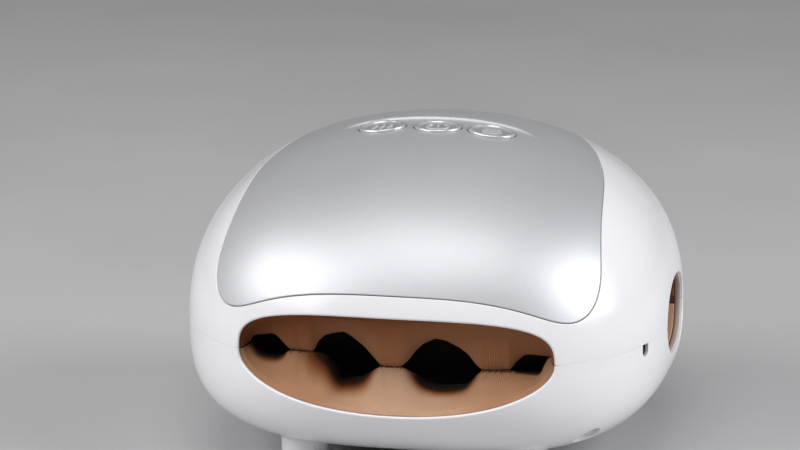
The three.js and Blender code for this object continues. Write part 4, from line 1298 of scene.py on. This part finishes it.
def painted_shade_of(G, up):
    """Painted shade for the lining: 0 in front of the tacks, 1 in the hollow, where the cloth is painted near black."""
    x, y = G[..., 0], G[..., 1]
    best = np.zeros(x.shape)
    pockets = ((-56.0, -45.0, 3.0, 2.0, 2.4), (-31.0, -9.5, 3.0, 2.0, 2.6), (3.0, 29.0, 2.5, 2.5, 2.6), (44.6, 56.0, 2.0, 2.0, 2.0)) if up else \
        ((-54.5, -45.5, 6.0, 2.0, 4.0), (-27.6, -14.0, 14.0, 7.0, 10.5), (8.0, 26.0, 7.5, 6.5, 7.5), (44.8, 56.0, 1.6, 1.2, 2.4))
    for x0, x1, left, right, lead in pockets:
        dx = np.maximum(np.maximum((x0 - x) / left, (x - x1) / right), 0)
        dy = np.maximum(TACK_Y + (1.2 if up else 0.4) - y, 0) / lead
        best = np.maximum(best, smooth(0, 1, 1.0 - np.hypot(dx, dy)))
    if up:                                   # painted shadow under the slot's upper edge, more so to the left
        front = G[:1, :, 1]
        best = np.maximum(best, 0.42 * (1 - smooth(1.5, 15.0, y - front)) * (1 - 0.6 * smooth(-25, 45, x)))
    else:                                    # painted shade towards both ends of the slot
        best = 1 - (1 - best) * (1 - 0.22 * smooth(8, 40, np.abs(x - 2)))
    # painted shade deep behind the tacks, fading out towards the wrist
    behind = smooth(TACK_Y + 0.5, TACK_Y + 7.0, y)
    rear = 1 - smooth(54, 78, y)
    return np.clip(np.maximum(best, behind) * rear, 0, 1)


for up in (True, False):
    G = lining(up)
    ob, size, across, along = thick_grid("lining_upper" if up else "lining_lower", G, (0, 0, 1 if up else -1), 0.75, M["lining_shaded" if up else "lining_twill"])
    shade = painted_shade_of(G, up).ravel()
    shade_layer(ob, np.concatenate([shade, shade]))
    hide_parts("upper_lining" if up else "lower_lining")
    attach(ob, "case")


# ------------------------------------------------------------------ thumb sleeves
SLIT = -0.7                                   # height of the slit where the sleeve's halves part


def sleeve_angle(z):
    v = (z - THUMB[1]) / THUMB[3]
    return math.asin(min(1, abs(v) ** (THUMB[4] / 2))) * (1 if v > 0 else -1)


def sleeve(side, up, cols=90, rows=26):
    t0, t1 = (sleeve_angle(SLIT + 1.6), math.pi - sleeve_angle(SLIT + 1.6)) if up else (math.pi - sleeve_angle(SLIT - 1.65), 2 * math.pi + sleeve_angle(SLIT - 1.65))
    t = np.linspace(t0, t1, cols)
    y, z = thumb_fn(t, -1.2)
    o = np.stack([0 * y, y, z], 1)
    xf = np.abs(hit(o, np.array([side, 0.0, 0]), 3.5)[:, 0])
    w = 59 + 7 * np.maximum(0, 1 - ((y - 7) / 45) ** 2)
    h = np.where(z > 0, 21.6, 20.4)
    xe = w * np.clip(1 - np.abs(z / h) ** 3, 0, 1) ** (1 / 3) - 0.25
    v = np.linspace(0, 1, rows)[:, None] ** 1.3
    x = xf[None] * (1 - v) + xe[None] * v
    swell = 0.35 * np.sin(math.pi * v) * (1 + 0.5 * np.sin(3 * t[None] + 1.0 + side))
    yy, zz = thumb_fn(t[None] + 0 * v, -1.2 + 0 * v)
    cy, cz = THUMB[0], THUMB[1]
    rad = np.hypot(yy - cy, zz - cz)
    yy, zz = yy + (yy - cy) / rad * swell * -0.6, zz + (zz - cz) / rad * swell * -0.6
    # the cloth turns back a little along the slit
    e = np.minimum(np.abs(t - t0), np.abs(t - t1))[None] * 18.0
    fold = 0.55 * np.exp(-(e / 0.9) ** 2)
    yy = yy + (yy - cy) / rad * fold
    return np.stack([side * x, yy, zz], 2)


for side, cad in ((1, "right_thumb_sleeve"), (-1, "left_thumb_sleeve")):
    for up in (True, False):
        G = sleeve(side, up)
        ob, size, across, along = thick_grid(f"{cad}_{'upper' if up else 'lower'}", G, (0, 0, 1 if up else -1), 0.5, M["lining_shaded" if up else "sleeve_twill"], edge=0.3, taper=2)
        z = G[..., 2].ravel()
        # painted shade on the upper halves, darker towards the top; the lower halves get none
        shade = 0.42 * smooth(-1.0, 11.0, z) if up else 0.0 * z
        shade_layer(ob, np.concatenate([shade, shade]))
        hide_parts(cad)
        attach(ob, "case")


def slit_facing(side, end, cols=22, rows=26):
    """A strip of the same cloth behind the slit, from the collar to the lining, painted nearly black as shade."""
    up_, dn = sleeve_angle(SLIT + 5.7), sleeve_angle(SLIT - 5.7)
    t = np.linspace(dn, up_, cols) if end > 0 else math.pi - np.linspace(dn, up_, cols)
    y, z = thumb_fn(t, -0.55)
    xf = np.abs(hit(np.stack([0 * y, y, z], 1), np.array([side, 0.0, 0]), 5.4)[:, 0])
    w = 59 + 7 * np.maximum(0, 1 - ((y - 7) / 45) ** 2)
    xe = w * np.clip(1 - np.abs(z / 21) ** 3, 0, 1) ** (1 / 3) + 0.6
    v = np.linspace(0, 1, rows)[:, None]
    x = xf[None] * (1 - v) + xe[None] * v
    bulge = 0.25 * np.sin(math.pi * v) * np.cos(np.linspace(-1.4, 1.4, cols))[None]
    return np.stack([side * x, y[None] + end * bulge, z[None] + 0 * v], 2)


for side, cad in ((1, "right_thumb_sleeve"), (-1, "left_thumb_sleeve")):
    for end in (1, -1):
        G = slit_facing(side, end)
        ob, size, across, along = thick_grid(f"{cad}_facing_{'rear' if end > 0 else 'front'}", G, (0, end, 0), 0.4, M["lining_shaded"], edge=0.25, taper=2)
        # painted shade: the strip's colour is darkened to 0.78 on the shade scale, so the slit reads dark
        shade_layer(ob, np.full(len(ob.data.vertices), 0.78))
        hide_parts(cad)
        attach(ob, "case")


# ------------------------------------------------------------------ sewing thread at the tacks
def tube(points, r, sides=8):
    """A round thread along points, closed at both ends."""
    P = np.asarray(points, float)
    T = unit(np.gradient(P, axis=0))
    ref = np.array([0.0, 1.0, 0.0]) if abs(T[0][1]) < 0.9 else np.array([1.0, 0, 0])
    rings = []
    for p, t in zip(P, T):
        a = unit(np.cross(t, ref)[None])[0]
        b = np.cross(t, a)
        k = np.arange(sides) / sides * 2 * math.pi
        rings.append(p + r * (np.cos(k)[:, None] * a + np.sin(k)[:, None] * b))
    return loft(rings)


Vs, Fs, at = [], [], 0
rng = np.random.RandomState(7)
for i, (x0, x1) in enumerate(TACKS):
    xs = np.linspace(x0 - 0.2, x1 + 0.2, 40)
    run = np.stack([xs, TACK_Y - 0.75 - 0.12 * np.cos(xs * 3.1), meet_fn(xs) + 0.07 * np.sin(xs * 2.3 + i)], 1)
    parts = [tube(run, 0.13)]
    for x in np.linspace(x0 + 0.25, x1 - 0.15, 5 if i else 4):
        x = x + rng.uniform(-0.35, 0.35)
        lean = rng.uniform(-0.35, 0.35)
        up_, dn = rng.uniform(0.65, 1.05), rng.uniform(0.6, 1.0)
        u = np.linspace(-1, 1, 11)
        hgt = np.where(u > 0, up_, dn) * u
        pts = np.stack([x + lean * u, TACK_Y - 0.86 - 0.75 * np.abs(u) ** 1.5, float(meet_fn(x)) + hgt], 1)
        parts.append(tube(pts, 0.17))
    for v, f in parts:
        Vs.append(v)
        Fs += [[q + at for q in face] for face in f]
        at += len(v)
thread = sharp(make("tack_stitches", np.concatenate(Vs), Fs, None, [M["thread"]]), 60)
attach(thread, "case")


# ------------------------------------------------------------------ dark mouth of the charging socket
def port_cup(count=60):
    C = port_curve(count)
    x0, y0, turn_deg, w, h = PORT
    a = math.radians(turn_deg)
    d = np.array([math.cos(a), math.sin(a), 0.0])
    edge = C.rows[-1]                        # the hole's outline on the inner skin
    mid = edge.mean(0)

    def place(inset, depth):
        """The hole's outline drawn in by inset, at the given depth under the skin."""
        v = edge - mid
        v = v - np.outer(v @ d, d)
        L = np.linalg.norm(v, axis=1, keepdims=True)
        q = mid + v * (1 - inset / L) - 20 * d
        q = hit(q, d, depth)
        return q

    prof = [(0.05, 1.3), (0.05, 3.4), (0.5, 3.4), (1.9, 3.4), (1.9, 2.9), (0.5, 2.9), (0.45, 2.7), (0.45, 1.45), (0.38, 1.32), (0.3, 1.3)]
    rings = [place(g, dd) for g, dd in prof]
    n, m = count, len(prof)
    F = []
    for j in range(m):
        j2 = (j + 1) % m
        if j == 3:
            continue
        F += [(j * n + i, j * n + (i + 1) % n, j2 * n + (i + 1) % n, j2 * n + i) for i in range(n)]
    F.append(tuple(3 * n + i for i in range(n)))
    F.append(tuple(4 * n + i for i in range(n))[::-1])
    return np.concatenate(rings), F


V, F = port_cup()
cup = sharp(make("charge_socket_mouth", V, F, None, [M["black_plastic"]]), 40)
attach(cup, "case")


# ------------------------------------------------------------------ feet
for (x0, y0), cad in zip(FEET, ("front_right_foot", "front_left_foot", "rear_right_foot", "rear_left_foot")):
    prof = [(0.05, 2.1), (6.9, 2.1), (7.2, 1.9), (7.2, 0.6), (7.1, 0.25), (6.8, 0.05), (6.5, 0.0), (5.7, 0.0), (5.5, 0.22), (5.1, 0.22), (4.9, 0.0), (3.5, 0.0), (3.3, 0.22), (2.9, 0.22), (2.7, 0.0), (0.05, 0.0)]
    a = np.arange(64) / 64 * 2 * math.pi
    V, F = loft([np.stack([x0 + r * np.cos(a), y0 + r * np.sin(a), np.full(64, FLOOR + z)], 1) for r, z in prof])
    pad = sharp(make(cad + "_pad", V, F, None, [M["black_rubber"]]), 30)
    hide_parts(cad)
    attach(pad, "case")


# ------------------------------------------------------------------ air bags
def pillow(cad, channels):
    """A welded bladder in the space of its CAD solid: a thin rim, a swollen middle, welded channels."""
    lo, hi = (np.array(v, float) * 1000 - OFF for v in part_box(cad))
    c, half = (lo + hi) / 2, (hi - lo) / 2
    flat_axis = int(np.argmin(half))
    ax = [k for k in range(3) if k != flat_axis]
    n, m = 96, 26
    a = np.arange(n) / n * 2 * math.pi
    ex = np.sign(np.cos(a)) * np.abs(np.cos(a)) ** 0.5
    ey = np.sign(np.sin(a)) * np.abs(np.sin(a)) ** 0.5
    rings = []
    levels = [(0.02 + 0.98 * k / m) for k in range(m + 1)]
    for sgn, seq in ((1, levels), (-1, levels[::-1])):
        for r in seq:
            x, y = ex * r, ey * r
            body = np.clip((0.93 - r) / 0.93, 0, 1)
            hgt = (1 - (1 - body) ** 2.6) ** 0.5
            weld = 1.0
            for ch in channels:
                weld = weld * (1 - 0.55 * np.exp(-((y - ch) / 0.07) ** 2) * np.clip((0.9 - np.abs(x)) * 6, 0, 1))
            wr = 1 + 0.03 * np.sin(7 * a + 3 * r) * r
            P = np.zeros((n, 3))
            P[:, ax[0]] = c[ax[0]] + half[ax[0]] * x * 0.995
            P[:, ax[1]] = c[ax[1]] + half[ax[1]] * y * 0.995
            P[:, flat_axis] = c[flat_axis] + sgn * np.maximum(half[flat_axis] * 0.96 * hgt * weld * wr / 1.03, 0.15)
            rings.append(P)
    V, F = loft(rings)
    ob = sharp(make(cad + "_bladder", V, F, None, [M["airbag_film"]]), 50)
    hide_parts(cad)
    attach(ob, "case")


for cad, ch in (("upper_palm_airbag", (-0.35, 0.35)), ("lower_palm_airbag", (-0.35, 0.35)), ("upper_finger_airbag", (0.0,)), ("lower_finger_airbag", (0.0,))):
    pillow(cad, ch)

# ------------------------------------------------------------------ valve springs
def wound(cad, wire=0.28, turns=4.0):
    """A wound spring in the space of its CAD solid. The real one shortens as the plunger comes down on it; this one is
    built at one length.
    """
    lo, hi = (np.array(v, float) * 1000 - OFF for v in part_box(cad))
    c, r = (lo + hi) / 2, min(hi[0] - lo[0], hi[1] - lo[1]) / 2 - wire
    a = np.linspace(0, 2 * math.pi * turns, int(40 * turns) + 1)
    rise = hi[2] - lo[2] - 2 * wire
    radial = np.stack([np.cos(a), np.sin(a), 0 * a], 1)
    P = c + radial * r
    P[:, 2] = lo[2] + wire + rise * a / a[-1]
    T = unit(np.stack([-r * np.sin(a), r * np.cos(a), np.full(len(a), rise / a[-1])], 1))
    B = np.cross(T, radial)
    k = np.arange(12) / 12 * 2 * math.pi
    rings = [p_ + wire * (np.cos(k)[:, None] * r_ + np.sin(k)[:, None] * b_) for p_, r_, b_ in zip(P, radial, B)]
    V, F = loft(rings)
    V[:, 2] = np.clip(V[:, 2], lo[2], hi[2])
    ob = sharp(make(cad + "_wire", V, F, None, [M[slot_of[cad]]]), 50)
    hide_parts(cad)
    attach(ob, "case")
    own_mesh(ob)


wound("finger_valve_spring")
wound("palm_valve_spring")

# ------------------------------------------------------------------ floor, light, camera
def floor_piece(name, reach, mat_):
    """A wide round floor, so that the view is open from every side."""
    me = bpy.data.meshes.new(name)
    rings = [0.5, 1.5, 4.0, reach]
    n = 72
    V = [(r * math.cos(2 * math.pi * i / n), r * math.sin(2 * math.pi * i / n), 0.0) for r in rings for i in range(n)]
    F = [tuple(range(n))]
    for k in range(len(rings) - 1):
        F += [(k * n + i, (k + 1) * n + i, (k + 1) * n + (i + 1) % n, k * n + (i + 1) % n) for i in range(n)]
    me.from_pydata(V, [], F)
    me.shade_smooth()
    ob = bpy.data.objects.new(name, me)
    bpy.context.scene.collection.objects.link(ob)
    me.materials.append(mat_)
    return ob


floor_mat, fnt, fb = mat("studio_floor", (0.5, 0.5, 0.5), 0.95, 0.0, Specular_IOR_Level=0.05)
fv = coords(fnt)
fnt.links.new(ramp(fnt, noise(fnt, fv, 6, 3), [(0.3, (0.50, 0.50, 0.505)), (0.7, (0.54, 0.54, 0.545))]), fb.inputs["Base Color"])
floor_piece("studio_floor", 12.0, floor_mat)


def area(name, at, to, size, power, colour=(1, 1, 1)):
    ld = bpy.data.lights.new(name, "AREA")
    ld.shape = "RECTANGLE"
    ld.size, ld.size_y = size
    ld.energy = power
    ld.color = colour
    ob = bpy.data.objects.new(name, ld)
    bpy.context.scene.collection.objects.link(ob)
    ob.location = at
    ob.rotation_euler = (Vector(to) - Vector(at)).to_track_quat("-Z", "Y").to_euler()
    return ob


def aim(azimuth, elevation, distance, size, power, name, colour=(1, 1, 1)):
    a_, e_ = math.radians(azimuth), math.radians(elevation)
    at_ = (distance * math.sin(a_) * math.cos(e_), -distance * math.cos(a_) * math.cos(e_), distance * math.sin(e_) + 0.07)
    return area(name, at_, (0, 0, 0.07), size, power, colour)


aim(-56, 31, 1.6, (1.4, 0.95), 19.4, "soft_left", (1.0, 0.99, 1.0))
aim(83, 26, 1.6, (0.9, 1.1), 21.0, "soft_right", (0.98, 0.99, 1.0))
aim(0, 70, 1.6, (1.0, 0.9), 7.6, "soft_above")
aim(3, 55, 1.9, (1.6, 0.8), 3.9, "soft_front")

world = bpy.data.worlds.new("studio")
bpy.context.scene.world = world
world.use_nodes = True
world.node_tree.nodes["Background"].inputs["Color"].default_value = (0.62, 0.64, 0.68, 1)
world.node_tree.nodes["Background"].inputs["Strength"].default_value = 0.03
bpy.context.scene.view_settings.view_transform = "Standard"

cam_data = bpy.data.cameras.new("camera")
cam_data.sensor_width = 36
cam_data.lens = 225.0
cam_data.clip_end = 50
cam = bpy.data.objects.new("camera", cam_data)
bpy.context.scene.collection.objects.link(cam)
az, el, ro = map(math.radians, (11.768, 14.731, -0.229))
back = np.array([math.sin(az) * math.cos(el), -math.cos(az) * math.cos(el), math.sin(el)])
right = np.array([math.cos(az), math.sin(az), 0.0])
upv = np.cross(back, right)
r2, u2 = right * math.cos(ro) + upv * math.sin(ro), -right * math.sin(ro) + upv * math.cos(ro)
pos = (np.array([371.304, -1854.198, 528.845]) + OFF) * 0.001
cam.matrix_world = Matrix(((r2[0], u2[0], back[0], pos[0]), (r2[1], u2[1], back[1], pos[1]), (r2[2], u2[2], back[2], pos[2]), (0, 0, 0, 1)))
bpy.context.scene.camera = cam
